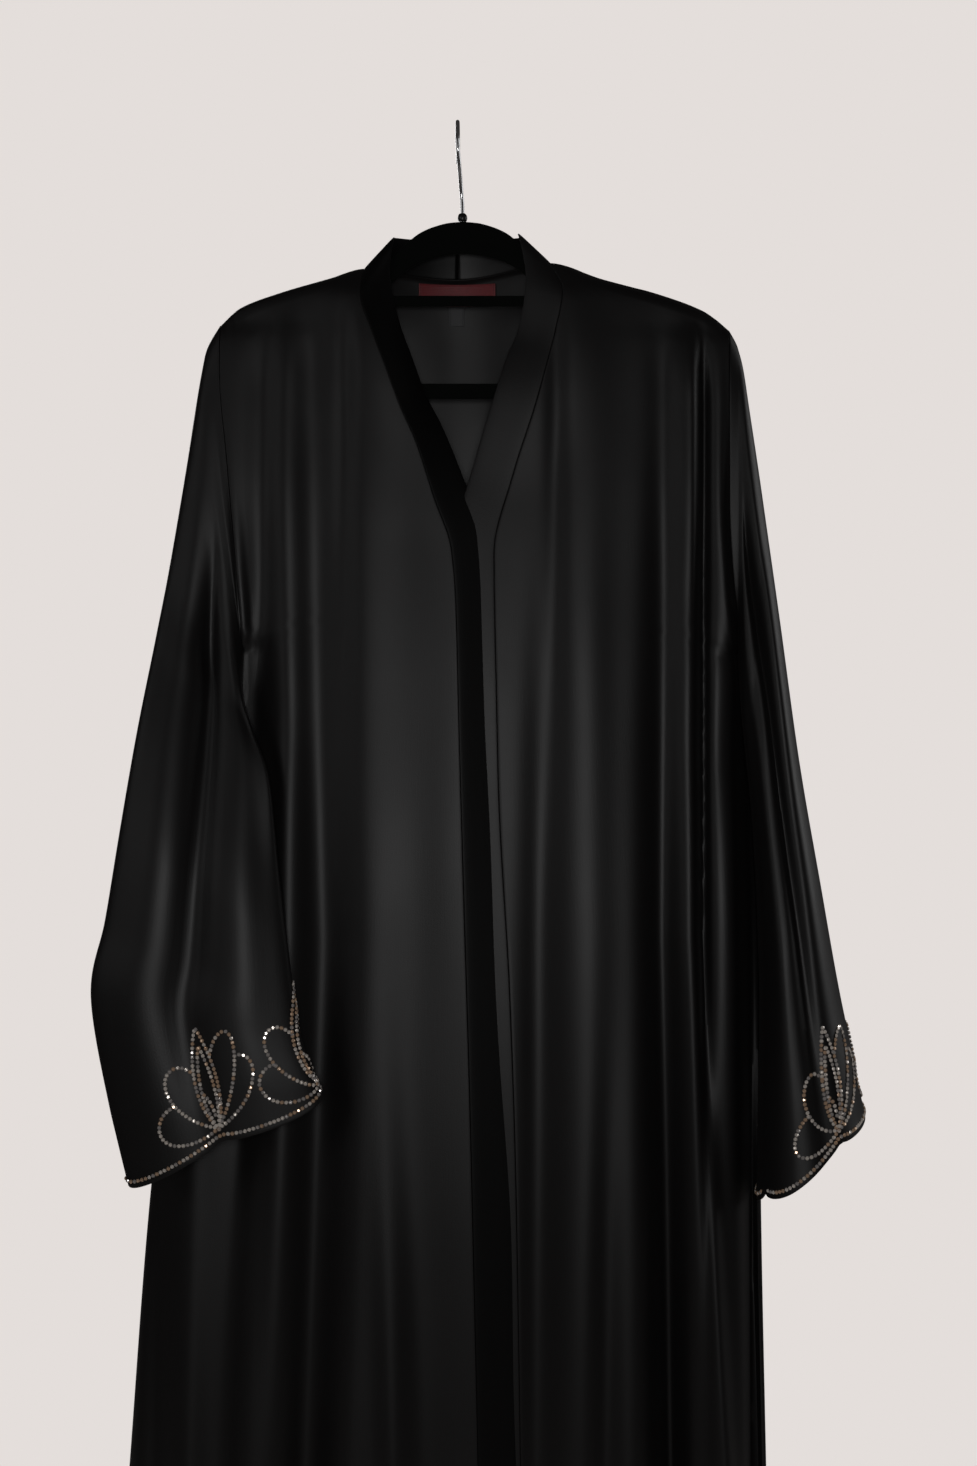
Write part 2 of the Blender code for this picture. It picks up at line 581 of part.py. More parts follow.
def garment():
    fronts = {
        'right': front_grid(RIGHT_SIDE, RIGHT_BAND, FRONT_RIGHT_FOLDS),
        'left': front_grid(LEFT_SIDE, LEFT_BAND, FRONT_LEFT_FOLDS)}
    back = back_grid()
    for side, grid in fronts.items():
        add_cloth(f'front_{side}', grid, CLOTH)
    add_cloth('back', back, CLOTH)
    sleeves = {
        'right': sleeve_rings(fronts['right'][:, 0], back[:, 0], RIGHT_SLEEVE, -1),
        'left': sleeve_rings(fronts['left'][:, 0], back[:, -1], LEFT_SLEEVE, 1)}
    for side, rings in sleeves.items():
        add_cloth(f'sleeve_{side}', rings, CLOTH, closed=True)
    first = BACK_SHOULDER_COLUMNS
    middle = first + BACK_NECK_COLUMNS
    last = middle + BACK_NECK_COLUMNS
    necks = {'right': back[0, first:middle + 1][::-1].copy(), 'left': back[0, middle:last + 1].copy()}
    necks['right'][0, 0] -= SEAM_GAP
    necks['left'][0, 0] += SEAM_GAP
    for side, rows in (('right', RIGHT_BAND), ('left', LEFT_BAND)):
        grid = band_grid(fronts[side][:, -1], necks[side], rows, NECK[side])
        add_cloth(f'band_{side}', grid, BAND_CLOTH, roughness=0.45)
    add_cloth('neck_label', label_grid(-35, 32, 132, 151), LABEL_CLOTH, 'red', 0.7)
    add_cloth('size_label', label_grid(-9, 5, 151.6, 168), LABEL_CLOTH, 'grey', 0.8)


def main():
    for obj in list(bpy.data.objects):
        bpy.data.objects.remove(obj)
    garment()
    hanger(material('velvet', COLOURS['velvet'], 0.9))
    hook(material('chrome', COLOURS['chrome'], 0.2, 1.0))
    ferrule(material('plastic', COLOURS['plastic'], 0.4))


main()
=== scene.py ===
"""Looks of an open-front abaya cloak on a slim flocked hanger with a wire hook.

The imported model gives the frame. Each cut piece of cloth is a thin shell on its solid's form, with finer
folds than the solid has, and the crystals, the labels and the hanger are dressed pieces of their own.
Tables are in millimetres: x to the wearer's left, drop below the hook's seat, and depth from the plane of
the hanger. Meshes are in metres, +Z up, with the front towards -Y.
"""
from __future__ import annotations

import logging
import math
from dataclasses import dataclass, field
from enum import Enum
from functools import partial
from typing import Any, Mapping, Sequence

import bmesh
import bpy
import numpy as np
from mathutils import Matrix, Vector

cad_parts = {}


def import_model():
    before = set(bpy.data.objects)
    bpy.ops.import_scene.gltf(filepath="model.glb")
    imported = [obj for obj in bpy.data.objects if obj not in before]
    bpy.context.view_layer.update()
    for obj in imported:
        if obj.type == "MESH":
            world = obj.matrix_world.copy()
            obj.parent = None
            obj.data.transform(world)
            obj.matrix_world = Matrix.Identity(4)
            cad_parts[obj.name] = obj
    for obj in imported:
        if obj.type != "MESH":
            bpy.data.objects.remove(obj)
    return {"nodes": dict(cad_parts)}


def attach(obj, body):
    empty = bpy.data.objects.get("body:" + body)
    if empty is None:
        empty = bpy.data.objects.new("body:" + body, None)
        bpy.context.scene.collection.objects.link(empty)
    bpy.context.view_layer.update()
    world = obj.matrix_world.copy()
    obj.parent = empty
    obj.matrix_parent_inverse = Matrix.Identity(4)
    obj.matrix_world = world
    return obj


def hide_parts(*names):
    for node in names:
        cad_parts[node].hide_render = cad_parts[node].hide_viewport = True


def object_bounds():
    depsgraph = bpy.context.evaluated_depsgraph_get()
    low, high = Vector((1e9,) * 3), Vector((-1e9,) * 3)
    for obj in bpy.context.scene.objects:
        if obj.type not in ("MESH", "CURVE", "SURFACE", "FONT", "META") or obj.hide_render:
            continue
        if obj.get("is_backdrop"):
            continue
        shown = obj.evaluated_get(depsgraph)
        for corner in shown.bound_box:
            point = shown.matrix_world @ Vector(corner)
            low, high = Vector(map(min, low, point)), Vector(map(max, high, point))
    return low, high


LOG = logging.getLogger("abaya")
MM = 0.001
BODY = "root"

Columns = dict[str, np.ndarray]
Points = np.ndarray
Tree = bpy.types.NodeTree
Node = bpy.types.Node
Socket = bpy.types.NodeSocket
Piece = bpy.types.Object
Mesh = bpy.types.Mesh


class Side(Enum):
    """The wearer's own sides."""

    RIGHT = "right"
    LEFT = "left"

    @property
    def outward(self) -> int:
        """Sign of x towards this side."""
        return -1 if self is Side.RIGHT else 1


class Face(Enum):
    """The two walls of the body."""

    FRONT = "front"
    BACK = "back"


def table(names: str, *rows: Sequence[float]) -> Columns:
    """Columns of numbers by name.

    Args:
        names: The columns' names, with spaces between them.
        rows: One row of numbers for each section or fold.

    Returns:
        Each column under its name.
    """
    return dict(zip(names.split(), np.array(rows, float).T))


def smooth(at: Any, stations: np.ndarray, values: np.ndarray) -> np.ndarray:
    """Cubic curve through a column that keeps the column's own highs and lows.

    Args:
        at: Where the curve is read.
        stations: The places of the rows.
        values: The column's values there.

    Returns:
        The curve's values.
    """
    step = np.diff(stations)
    slope = np.diff(values) / step
    product, total = slope[:-1] * slope[1:], slope[:-1] + slope[1:]
    inner = np.where(product > 0, 2 * product / np.where(total == 0, 1, total), 0)
    tangent = np.concatenate(([slope[0]], inner, [slope[-1]]))
    at = np.clip(at, stations[0], stations[-1])
    row = np.clip(np.searchsorted(stations, at, side="right") - 1, 0, len(step) - 1)
    t = (at - stations[row]) / step[row]
    start = values[row] * (1 + 2 * t) * (1 - t) ** 2 + tangent[row] * step[row] * t * (1 - t) ** 2
    end = values[row + 1] * t ** 2 * (3 - 2 * t) - tangent[row + 1] * step[row] * t ** 2 * (1 - t)
    return start + end


def ease(value: Any, low: float, high: float) -> np.ndarray:
    """Share from 0 to 1 that rises gently between low and high."""
    t = np.clip((value - low) / (high - low), 0, 1)
    return t * t * (3 - 2 * t)


def linear(code: str, share_lit: float = 1.0) -> tuple[float, float, float, float]:
    """Linear colour from an sRGB hex value such as #1a1819, darkened to a share of itself.

    Args:
        code: The hex value.
        share_lit: The share of its light that is kept.

    Returns:
        Red, green, blue and a full alpha.
    """
    shares = [int(code[at:at + 2], 16) / 255 for at in (1, 3, 5)]
    tones = [share / 12.92 if share <= 0.04045 else ((share + 0.055) / 1.055) ** 2.4 for share in shares]
    return (*(share_lit * tone for tone in tones), 1.0)


def add_node(tree: Tree, kind: str, inputs: Mapping[Any, Any] | None = None,
             **settings: Any) -> Node:
    """Adds one node with its settings, values and links.

    Args:
        tree: The shader or geometry tree.
        kind: The node's type.
        inputs: Socket name or number, and the value or the output socket that feeds it.
        settings: The node's own properties.

    Returns:
        The node.
    """
    node = tree.nodes.new(kind)
    for name, value in settings.items():
        setattr(node, name, value)
    for key, value in (inputs or {}).items():
        if isinstance(value, Socket):
            tree.links.new(value, node.inputs[key])
        else:
            node.inputs[key].default_value = value
    return node


def speckle(tree: Tree, scale: float, **values: float) -> Socket:
    """Noise over object coordinates, as one value.

    Args:
        tree: The material's tree.
        scale: Its scale, per metre.
        values: The noise node's other inputs by name.

    Returns:
        The value's socket.
    """
    place = add_node(tree, "ShaderNodeTexCoord")
    noise = {"Vector": place.outputs["Object"], "Scale": scale, **values}
    return add_node(tree, "ShaderNodeTexNoise", noise).outputs["Fac"]


def blend(tree: Tree, share: Any, low: Any, high: Any) -> Socket:
    """Mixes two colours, each a linear value or a socket."""
    return add_node(tree, "ShaderNodeMix", {"Factor": share, 6: low, 7: high}, data_type="RGBA").outputs[2]


def between(tree: Tree, value: Any, low: float, high: float, least: float = 0.0,
            most: float = 1.0) -> Socket:
    """Maps a value, which runs from least to most, onto the range from low to high."""
    spread = {"Value": value, "From Min": least, "From Max": most, "To Min": low, "To Max": high}
    return add_node(tree, "ShaderNodeMapRange", spread).outputs[0]


def times(tree: Tree, value: Any, factor: float) -> Socket:
    """A socket's value multiplied by a number."""
    return add_node(tree, "ShaderNodeMath", {0: value, 1: factor}, operation="MULTIPLY").outputs[0]


def bump(tree: Tree, height: Any, strength: float, deep_mm: float) -> Socket:
    """The normal of a fine relief."""
    relief = {"Strength": strength, "Distance": deep_mm * MM, "Height": height}
    return add_node(tree, "ShaderNodeBump", relief).outputs[0]


def principled(tree: Tree, inputs: Mapping[Any, Any]) -> Node:
    """The shader node that every finish ends in."""
    return add_node(tree, "ShaderNodeBsdfPrincipled", inputs)


# Finishes


@dataclass(frozen=True)
class Finish:
    """A material that is built once, on first use."""

    name: str

    def material(self) -> bpy.types.Material:
        """The node material, made when first asked for.

        Returns:
            The material.
        """
        made = bpy.data.materials.get(self.name)
        if made is None:
            made = bpy.data.materials.new(self.name)
            made.use_nodes = True
            tree = made.node_tree
            tree.nodes.clear()
            shader = self.shader(tree)
            add_node(tree, "ShaderNodeOutputMaterial", {"Surface": shader.outputs[0]})
        return made

    def shader(self, tree: Tree) -> Node:
        """The finish's own nodes; each finish has its own."""
        raise NotImplementedError


@dataclass(frozen=True)
class CrepeSatin(Finish):
    """Black crepe satin, woven: a soft broad sheen over a fine pebbled grain, streaky along the warp."""

    dark: str = "#080707"
    light: str = "#110f10"
    roughness: float = 0.45
    gloss: float = 0.34
    grain_mm: float = 1.3
    slub_mm: float = 0.9

    def shader(self, tree: Tree) -> Node:
        """Two-tone black with crepe grain, warp streaks and slow changes of gloss.

        Args:
            tree: The material's tree.

        Returns:
            The shader node.
        """
        weave = add_node(tree, "ShaderNodeUVMap", uv_map="weave")
        # The crepe's real grain is near 0.4 mm; it is drawn coarser so that it shows from across a room
        grain = add_node(tree, "ShaderNodeTexNoise", {
            "Vector": weave.outputs[0], "Scale": 1 / (self.grain_mm * MM), "Detail": 3.0, "Roughness": 0.6})
        stretched = add_node(tree, "ShaderNodeMapping", {"Vector": weave.outputs[0], "Scale": (1, 0.02, 1)})
        slub = add_node(tree, "ShaderNodeTexNoise", {
            "Vector": stretched.outputs[0], "Scale": 1 / (self.slub_mm * MM), "Detail": 2.0})
        slow = add_node(tree, "ShaderNodeTexNoise", {"Vector": weave.outputs[0], "Scale": 9.0, "Detail": 2.0})
        tone = add_node(tree, "ShaderNodeMath", {0: grain.outputs["Fac"], 1: slub.outputs["Fac"]},
                        operation="MULTIPLY_ADD")
        tone.inputs[2].default_value = 0.2
        colour = blend(tree, tone.outputs[0], linear(self.dark), linear(self.light))
        sheen = between(tree, slow.outputs["Fac"], self.roughness - 0.01, self.roughness + 0.01, 0.3, 0.7)
        height = add_node(tree, "ShaderNodeMath", {0: slub.outputs["Fac"], 1: 0.5, 2: grain.outputs["Fac"]},
                          operation="MULTIPLY_ADD")
        return principled(tree, {
            "Base Color": colour, "Roughness": sheen, "Normal": bump(tree, height.outputs[0], 0.3, 0.25),
            "IOR": 1.5, "Specular IOR Level": self.gloss, "Sheen Weight": 0.03, "Sheen Roughness": 0.5,
            "Sheen Tint": linear("#9a9494")})


@dataclass(frozen=True)
class Flock(Finish):
    """Black nylon flock blown on glued plastic: no gloss, a faint green-grey bloom at its edges."""

    colour: str = "#0d0f0d"
    shade: str = "#050605"
    bloom: str = "#8d938c"
    fibre_mm: float = 0.8

    def shader(self, tree: Tree) -> Node:
        """Speckled, rough and velvety.

        Args:
            tree: The material's tree.

        Returns:
            The surface node.
        """
        # Flock fibres are 0.02 mm thick; the speckle is drawn as tufts of them
        tufts = speckle(tree, 1 / (self.fibre_mm * MM), Detail=4.0)
        return principled(tree, {
            "Base Color": blend(tree, tufts, linear(self.shade), linear(self.colour)), "Roughness": 0.95,
            "Normal": bump(tree, tufts, 0.6, 0.3), "Specular IOR Level": 0.1, "Sheen Weight": 0.12,
            "Sheen Roughness": 0.35, "Sheen Tint": linear(self.bloom)})


@dataclass(frozen=True)
class ChromeWire(Finish):
    """Chrome plate on drawn steel wire: bright, with faint drawing lines."""

    colour: str = "#dcdcde"
    streak_mm: float = 10 / 9

    def shader(self, tree: Tree) -> Node:
        """Metal with a little streaked roughness.

        Args:
            tree: The material's tree.

        Returns:
            The surface node.
        """
        streaks = speckle(tree, 1 / (self.streak_mm * MM), Detail=2.0)
        gloss = between(tree, streaks, 0.1, 0.24)
        return principled(tree, {"Base Color": linear(self.colour), "Metallic": 1.0, "Roughness": gloss})


@dataclass(frozen=True)
class MouldedPlastic(Finish):
    """Black polypropylene, moulded: a low even gloss with a faint orange peel."""

    colour: str = "#101010"
    peel_mm: float = 10 / 7

    def shader(self, tree: Tree) -> Node:
        """Plain gloss with a fine ripple.

        Args:
            tree: The material's tree.

        Returns:
            The surface node.
        """
        peel = speckle(tree, 1 / (self.peel_mm * MM))
        return principled(tree, {
            "Base Color": linear(self.colour), "Roughness": 0.35, "Normal": bump(tree, peel, 0.15, 0.1)})


@dataclass(frozen=True)
class WovenLabel(Finish):
    """Damask label tape, woven polyester: fine ribs across, with a satin gloss."""

    colour: str = "#7a0f1b"
    rib_mm: float = 0.7

    def shader(self, tree: Tree) -> Node:
        """Ribbed and slightly mottled.

        Args:
            tree: The material's tree.

        Returns:
            The shader node.
        """
        weave = add_node(tree, "ShaderNodeUVMap", uv_map="weave")
        ribs = add_node(tree, "ShaderNodeTexWave", {
            "Vector": weave.outputs[0], "Scale": 0.5 / (self.rib_mm * MM) / math.pi, "Distortion": 0.4},
            bands_direction="Y")
        mottle = add_node(tree, "ShaderNodeTexNoise", {"Vector": weave.outputs[0], "Scale": 260.0})
        colour = blend(tree, mottle.outputs["Fac"], linear(self.colour, 0.55), linear(self.colour))
        return principled(tree, {
            "Base Color": colour, "Roughness": 0.55, "Normal": bump(tree, ribs.outputs["Fac"], 0.4, 0.15),
            "Sheen Weight": 0.1})


@dataclass(frozen=True)
class Rhinestone(Finish):
    """Foil-backed cut glass in small metal cups: bright facets in clear, grey and champagne."""

    clear: str = "#ece3da"
    grey: str = "#b4aeab"
    champagne: str = "#cdae93"
    cup: str = "#44382f"
    clear_share: float = 0.45
    champagne_share: float = 0.3

    def shader(self, tree: Tree) -> Node:
        """Each stone's tint comes from its own random number, and the cup is darker.

        Args:
            tree: The material's tree.

        Returns:
            The shader node.
        """
        tint = add_node(tree, "ShaderNodeAttribute", attribute_name="tint")
        crown = add_node(tree, "ShaderNodeAttribute", attribute_name="crown")
        ramp = add_node(tree, "ShaderNodeValToRGB", {"Fac": tint.outputs["Fac"]})
        ramp.color_ramp.interpolation = "CONSTANT"
        stops = ramp.color_ramp.elements
        stops[0].color = linear(self.clear)
        stops[1].position = self.clear_share
        stops[1].color = linear(self.champagne)
        stops.new(self.clear_share + self.champagne_share).color = linear(self.grey)
        colour = blend(tree, crown.outputs["Fac"], linear(self.cup), ramp.outputs["Color"])
        gloss = between(tree, crown.outputs["Fac"], 0.4, 0.12)
        return principled(tree, {"Base Color": colour, "Metallic": 0.35, "Roughness": gloss})


@dataclass(frozen=True)
class Thread(Finish):
    """Spun polyester sewing thread, dull with a small twist."""

    colour: str = "#5c0d16"
    twist_mm: float = 2 / 3

    def shader(self, tree: Tree) -> Node:
        """Plain dull thread, a little uneven in tone.

        Args:
            tree: The material's tree.

        Returns:
            The surface node.
        """
        twist = speckle(tree, 1 / (self.twist_mm * MM))
        colour = blend(tree, twist, linear(self.colour, 0.5), linear(self.colour))
        return principled(tree, {"Base Color": colour, "Roughness": 0.8})


@dataclass(frozen=True)
class PaintedBoard(Finish):
    """Matt emulsion on board, rolled: the pale studio floor."""

    colour: str = "#dcd7d3"
    nap_mm: float = 25.0

    def shader(self, tree: Tree) -> Node:
        """Nearly even matt paint.

        Args:
            tree: The material's tree.

        Returns:
            The surface node.
        """
        roller = speckle(tree, 1 / (self.nap_mm * MM))
        return principled(tree, {
            "Base Color": linear(self.colour), "Roughness": between(tree, roller, 0.75, 0.9)})


# Meshes


def plain_mesh(obj: Piece) -> None:
    """Turns an object with its modifiers into one plain mesh, in place.

    Args:
        obj: The object, changed in place.
    """
    seen = obj.evaluated_get(bpy.context.evaluated_depsgraph_get())
    mesh = bpy.data.meshes.new_from_object(seen)
    mesh.name = obj.name
    obj.modifiers.clear()
    obj.data = mesh


def add_object(name: str, mesh: Mesh, finish: Finish) -> Piece:
    """A new object at the origin that shows the mesh in one finish.

    Args:
        name: The object's name.
        mesh: Its mesh.
        finish: Its finish.

    Returns:
        The object, linked to the scene.
    """
    if not mesh.materials:
        mesh.materials.append(finish.material())
    obj = bpy.data.objects.new(name, mesh)
    bpy.context.collection.objects.link(obj)
    return obj


def grid_object(name: str, grid: Points, finish: Finish, closed: bool = False) -> Piece:
    """A sheet through a grid of points, with a map in metres along the cloth.

    Args:
        name: The object's name.
        grid: Rows of points in millimetres.
        finish: The cloth's finish.
        closed: Whether each row's ends join.

    Returns:
        The object, with no thickness yet.
    """
    rows, columns = grid.shape[:2]
    wrap = columns if closed else columns - 1
    faces = [
        (row * columns + column, row * columns + (column + 1) % columns,
         (row + 1) * columns + (column + 1) % columns, (row + 1) * columns + column)
        for row in range(rows - 1) for column in range(wrap)]
    mesh = bpy.data.meshes.new(name)
    mesh.from_pydata((grid.reshape(-1, 3) * MM).tolist(), [], faces)
    span = np.roll(grid, -1, axis=1) - grid if closed else np.diff(grid, axis=1)
    width = np.linalg.norm(span, axis=2).sum(axis=1).mean() * MM
    length = np.linalg.norm(np.diff(grid, axis=0), axis=2).sum(axis=0).mean() * MM
    layer = mesh.uv_layers.new(name="weave")
    corners = np.empty((len(faces), 4, 2))
    for at, face in enumerate(faces):
        row, column = divmod(face[0], columns)
        for corner, (down, across) in enumerate(((0, 0), (0, 1), (1, 1), (1, 0))):
            corners[at, corner] = ((column + across) / wrap * width, -(row + down) / (rows - 1) * length)
    layer.data.foreach_set("uv", corners.ravel())
    mesh.shade_smooth()
    return add_object(name, mesh, finish)


def thicken(obj: Piece, thickness: float, rounding: float) -> None:
    """Gives a sheet its wall and rounds the wall's edges.

    Args:
        obj: The sheet.
        thickness: The wall in millimetres, half to each side.
        rounding: How far its edges are rounded, in millimetres.
    """
    wall = obj.modifiers.new("wall", "SOLIDIFY")
    wall.thickness = thickness * MM
    wall.offset = 0
    edge = obj.modifiers.new("edge", "BEVEL")
    edge.width = rounding * MM
    edge.segments = 2
    edge.limit_method = "ANGLE"
    edge.angle_limit = math.radians(60)
    plain_mesh(obj)


def mesh_of(curve: bpy.types.Curve) -> Mesh:
    """The plain mesh of a curve, with no material of its own.

    Args:
        curve: The curve, with its bevel.

    Returns:
        The mesh; the curve stays out of the scene.
    """
    drawn = bpy.data.objects.new(curve.name, curve)
    bpy.context.collection.objects.link(drawn)
    mesh = bpy.data.meshes.new_from_object(drawn.evaluated_get(bpy.context.evaluated_depsgraph_get()))
    bpy.data.objects.remove(drawn)
    mesh.materials.clear()
    return mesh


def mend(mesh: Mesh, fill: bool = False, weld: float = 0.0) -> None:
    """Turns a mesh's faces outwards.

    Args:
        mesh: The mesh, changed in place.
        fill: Whether its open ends are closed first.
        weld: How near two points are joined, in millimetres.
    """
    shape = bmesh.new()
    shape.from_mesh(mesh)
    if fill:
        bmesh.ops.holes_fill(shape, edges=[edge for edge in shape.edges if edge.is_boundary], sides=0)
    if weld:
        bmesh.ops.remove_doubles(shape, verts=shape.verts, dist=weld * MM)
    bmesh.ops.recalc_face_normals(shape, faces=shape.faces)
    shape.to_mesh(mesh)
    shape.free()


def dress(obj: Piece, node: str | None = None) -> None:
    """Rides a piece on the body, and in its solid's place where it has one.

    Args:
        obj: The piece.
        node: The solid whose place it takes, if any.
    """
    if node is not None:
        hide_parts(node)
    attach(obj, BODY)


def declare_cloth(obj: Piece, node: str) -> None:
    """Dresses a hung sheet."""
    dress(obj, node)


# The garment's form

FOLD_COLUMNS = "x250 x700 x1160 reach_low_x reach_high_x out250 out700 out1160"
FOLD_DROPS = np.array([250.0, 700.0, 1160.0])
FOLD_FAN = 900.0
BAND_COLUMNS = "seam_x seam_drop free_x free_drop behind"
SLEEVE_COLUMNS = "outer_x outer_drop inner_x inner_drop outer_front inner_front half"
UNDERARM_RUN = 276.0
ROW_RUNS = (0, 1.5, 4.5, 12, 32, 65, 105, 150, 200, 240, 262, UNDERARM_RUN, 294, 325, 370, 430, 510,
            610, 720, 850, 990, 1130, 1280, 1429)


def fine_runs(step: float) -> np.ndarray:
    """The panels' row runs with each interval divided, so that no row is further than step from the next.

    Args:
        step: The largest step, in millimetres.

    Returns:
        The runs, from 0.
    """
    runs: list[float] = [0.0]
    for low, high in zip(ROW_RUNS, ROW_RUNS[1:]):
        parts = max(1, math.ceil((high - low) / step))
        runs.extend(np.linspace(low, high, parts + 1)[1:])
    return np.array(runs)


@dataclass
class BodyForm:
    """The cloak's outline and depth as it hangs: the walls that its front and back panels follow."""

    hem_drop: float = 1603.0
    shoulder_roll: float = 4.0
    seam_half: float = -0.25
    armhole_half: float = 13.0
    underarm_reach: float = 24.0
    closing_drops: tuple[float, float] = (400.0, 640.0)
    fullness: tuple[float, float] = (2.2, 0.8)
    fuller_drops: tuple[float, float] = (500.0, 750.0)
    crease_run: float = 80.0
    crease_from_side: float = 9.0
    deepest_crease: float = 0.7
    neck_bulge: float = 26.0
    bulge_spread: float = 45.0
    bulge_powers: tuple[float, float] = (1.2, 2.5)
    bulge_runs: tuple[float, float] = (70.0, 260.0)
    lap_lift: float = 6.0
    lift_reach: float = 45.0
    side_reach: float = 40.0
    ripple_high: float = 0.3
    lean: dict[Side, float] = field(default_factory=lambda: {Side.RIGHT: 9.0, Side.LEFT: -13.0})
    lean_drops: dict[Side, tuple[float, ...]] = field(default_factory=lambda: {
        Side.RIGHT: (200.0, 440.0, 450.0, 545.0), Side.LEFT: (462.0, 560.0, 900.0, 1200.0)})
    row_step: float = 7.5
    neck: dict[str, float] = field(default_factory=lambda: {"right": -81.0, "centre": -1.0, "left": 79.0})
    neck_lift: dict[Side, float] = field(default_factory=lambda: {Side.RIGHT: 9.0, Side.LEFT: 5.0})
    shoulder: Columns = field(default_factory=lambda: table(
        "x drop",
        (-205, 174), (-188, 159), (-156, 147), (-110, 134), (-81, 125), (-1, 128.5),
        (79, 120), (120, 134), (172, 148), (209, 161), (222, 169), (233, 178)))
    sides: dict[Side, Columns] = field(default_factory=lambda: {
        Side.RIGHT: table(
            "drop x",
            (174, -205), (214, -205), (293, -198), (381, -190), (440, -186), (475, -188),
            (510, -193), (584, -212), (757, -243), (913, -264), (1159, -283), (1603, -316)),
        Side.LEFT: table(
            "drop x",
            (178, 233), (324, 233), (400, 237), (440, 241.5), (475, 245.5), (510, 249.5), (552, 254),
            (626, 259.5), (690, 262), (795, 262.5), (900, 262), (964, 262.5), (1159, 265), (1603, 274))})
    depth: Columns = field(default_factory=lambda: table(
        "drop front back",
        (120, 4, 4), (180, 11, 12), (250, 16, 18), (373, 25, 27), (493, 33, 34), (744, 44, 45),
        (950, 51, 53), (1200, 56, 60), (1603, 62, 70)))

    def shoulder_drop(self, x: Any) -> np.ndarray:
        """Drop of the shoulder seam at x."""
        return smooth(x, self.shoulder["x"], self.shoulder["drop"])

    def side_x(self, side: Side, drop: Any) -> np.ndarray:
        """The body's edge on one side."""
        return smooth(drop, self.sides[side]["drop"], self.sides[side]["x"])

    def runs(self) -> np.ndarray:
        """The runs below the shoulder seam at which a panel has a row."""
        return fine_runs(self.row_step)

    def fold_out(self, folds: Columns, x: np.ndarray, drop: np.ndarray) -> np.ndarray:
        """Sum of a table's folds at places on a panel.

        Args:
            folds: A table with the fold columns.
            x: The places' x.
            drop: Their drops.

        Returns:
            How far the cloth stands out there.
        """
        total = np.zeros_like(x)
        for row in range(len(folds["x250"])):
            line = np.array([folds["x250"][row], folds["x700"][row], folds["x1160"][row]])
            out = np.array([folds["out250"][row], folds["out700"][row], folds["out1160"][row]])
            below = np.maximum(drop - FOLD_DROPS[2], 0)
            centre = np.interp(drop, FOLD_DROPS, line) + below * (line[2] - line[1]) / FOLD_FAN
            height = smooth(drop, FOLD_DROPS, out) * (1 + 0.15 * ease(drop, 1160, self.hem_drop))
            reach = np.where(x < centre, folds["reach_low_x"][row], folds["reach_high_x"][row])
            total += height * np.exp(-((x - centre) / reach) ** 2)
        return total

    def wall_out(self, face: Face, folds: Columns, x: np.ndarray, drop: np.ndarray) -> np.ndarray:
        """Distance of a panel from the plane of the hanger.

        Args:
            face: The front or the back.
            folds: The panel's folds.
            x: Places across.
            drop: Their drops.

        Returns:
            The distance, positive on the panel's own side.
        """
        low_x, high_x = self.side_x(Side.RIGHT, drop), self.side_x(Side.LEFT, drop)
        across = np.clip((2 * x - low_x - high_x) / (high_x - low_x), -1, 1)
        run = np.maximum(drop - self.shoulder_drop(x), 0)
        roll = np.sqrt(1 - (1 - np.clip(run / self.shoulder_roll, 0, 1)) ** 2)
        tips = [self.sides[side]["drop"][0] for side in Side]
        tip = np.where(x < self.neck["centre"], *tips)
        share = np.clip((drop - tip) / UNDERARM_RUN, 0, 1)
        edge = self.armhole_half * (4 * share * (1 - share)) ** 0.25
        edge = np.where(share < 0.5, np.maximum(edge, self.shoulder_roll), edge)
        from_side = np.minimum(x - low_x, high_x - x)
        edge = edge * (1 - ease(share, 0.45, 0.95) * (1 - np.exp(-(from_side / self.underarm_reach) ** 2)))
        closed = ease(drop, *self.closing_drops)
        power = self.fullness[0] + self.fullness[1] * ease(drop, *self.fuller_drops)
        closing = (1 - closed) * (1 - across ** 4) + closed * (1 - np.abs(across) ** power) ** (1 / power)
        depth = smooth(drop, self.depth["drop"], self.depth[face.value])
        base = (edge + (depth - edge) * closing) * roll
        crease = self.fold_out(folds, x, drop) + self.ripple(x, drop)
        crease = crease * ease(run, 0, self.crease_run) * ease(from_side, 0, self.crease_from_side)
        return self.seam_half + base + np.maximum(crease, -self.deepest_crease * base)

    def ripple(self, x: np.ndarray, drop: np.ndarray) -> np.ndarray:
        """Slight uneven waves that hanging cloth has between its folds."""
        slow = np.sin(x / 17 + drop / 140) * np.sin(drop / 95 - x / 60)
        return self.ripple_high * (slow + 0.6 * np.sin(x / 9.5 - drop / 210 + 2) * np.sin(drop / 57 + x / 41))

    def side_lean(self, x: np.ndarray, drop: np.ndarray) -> np.ndarray:
        """How far forward the right side is carried by its underarm, and how far back the left one below.

        Args:
            x: Places across.
            drop: Their drops.

        Returns:
            The distance, forward.
        """
        total = np.zeros_like(x)
        for side in Side:
            start, full, fade, gone = self.lean_drops[side]
            near = np.exp(-((x - self.side_x(side, drop)) / self.side_reach) ** 2)
            total += self.lean[side] * ease(drop, start, full) * (1 - ease(drop, fade, gone)) * near
        return total

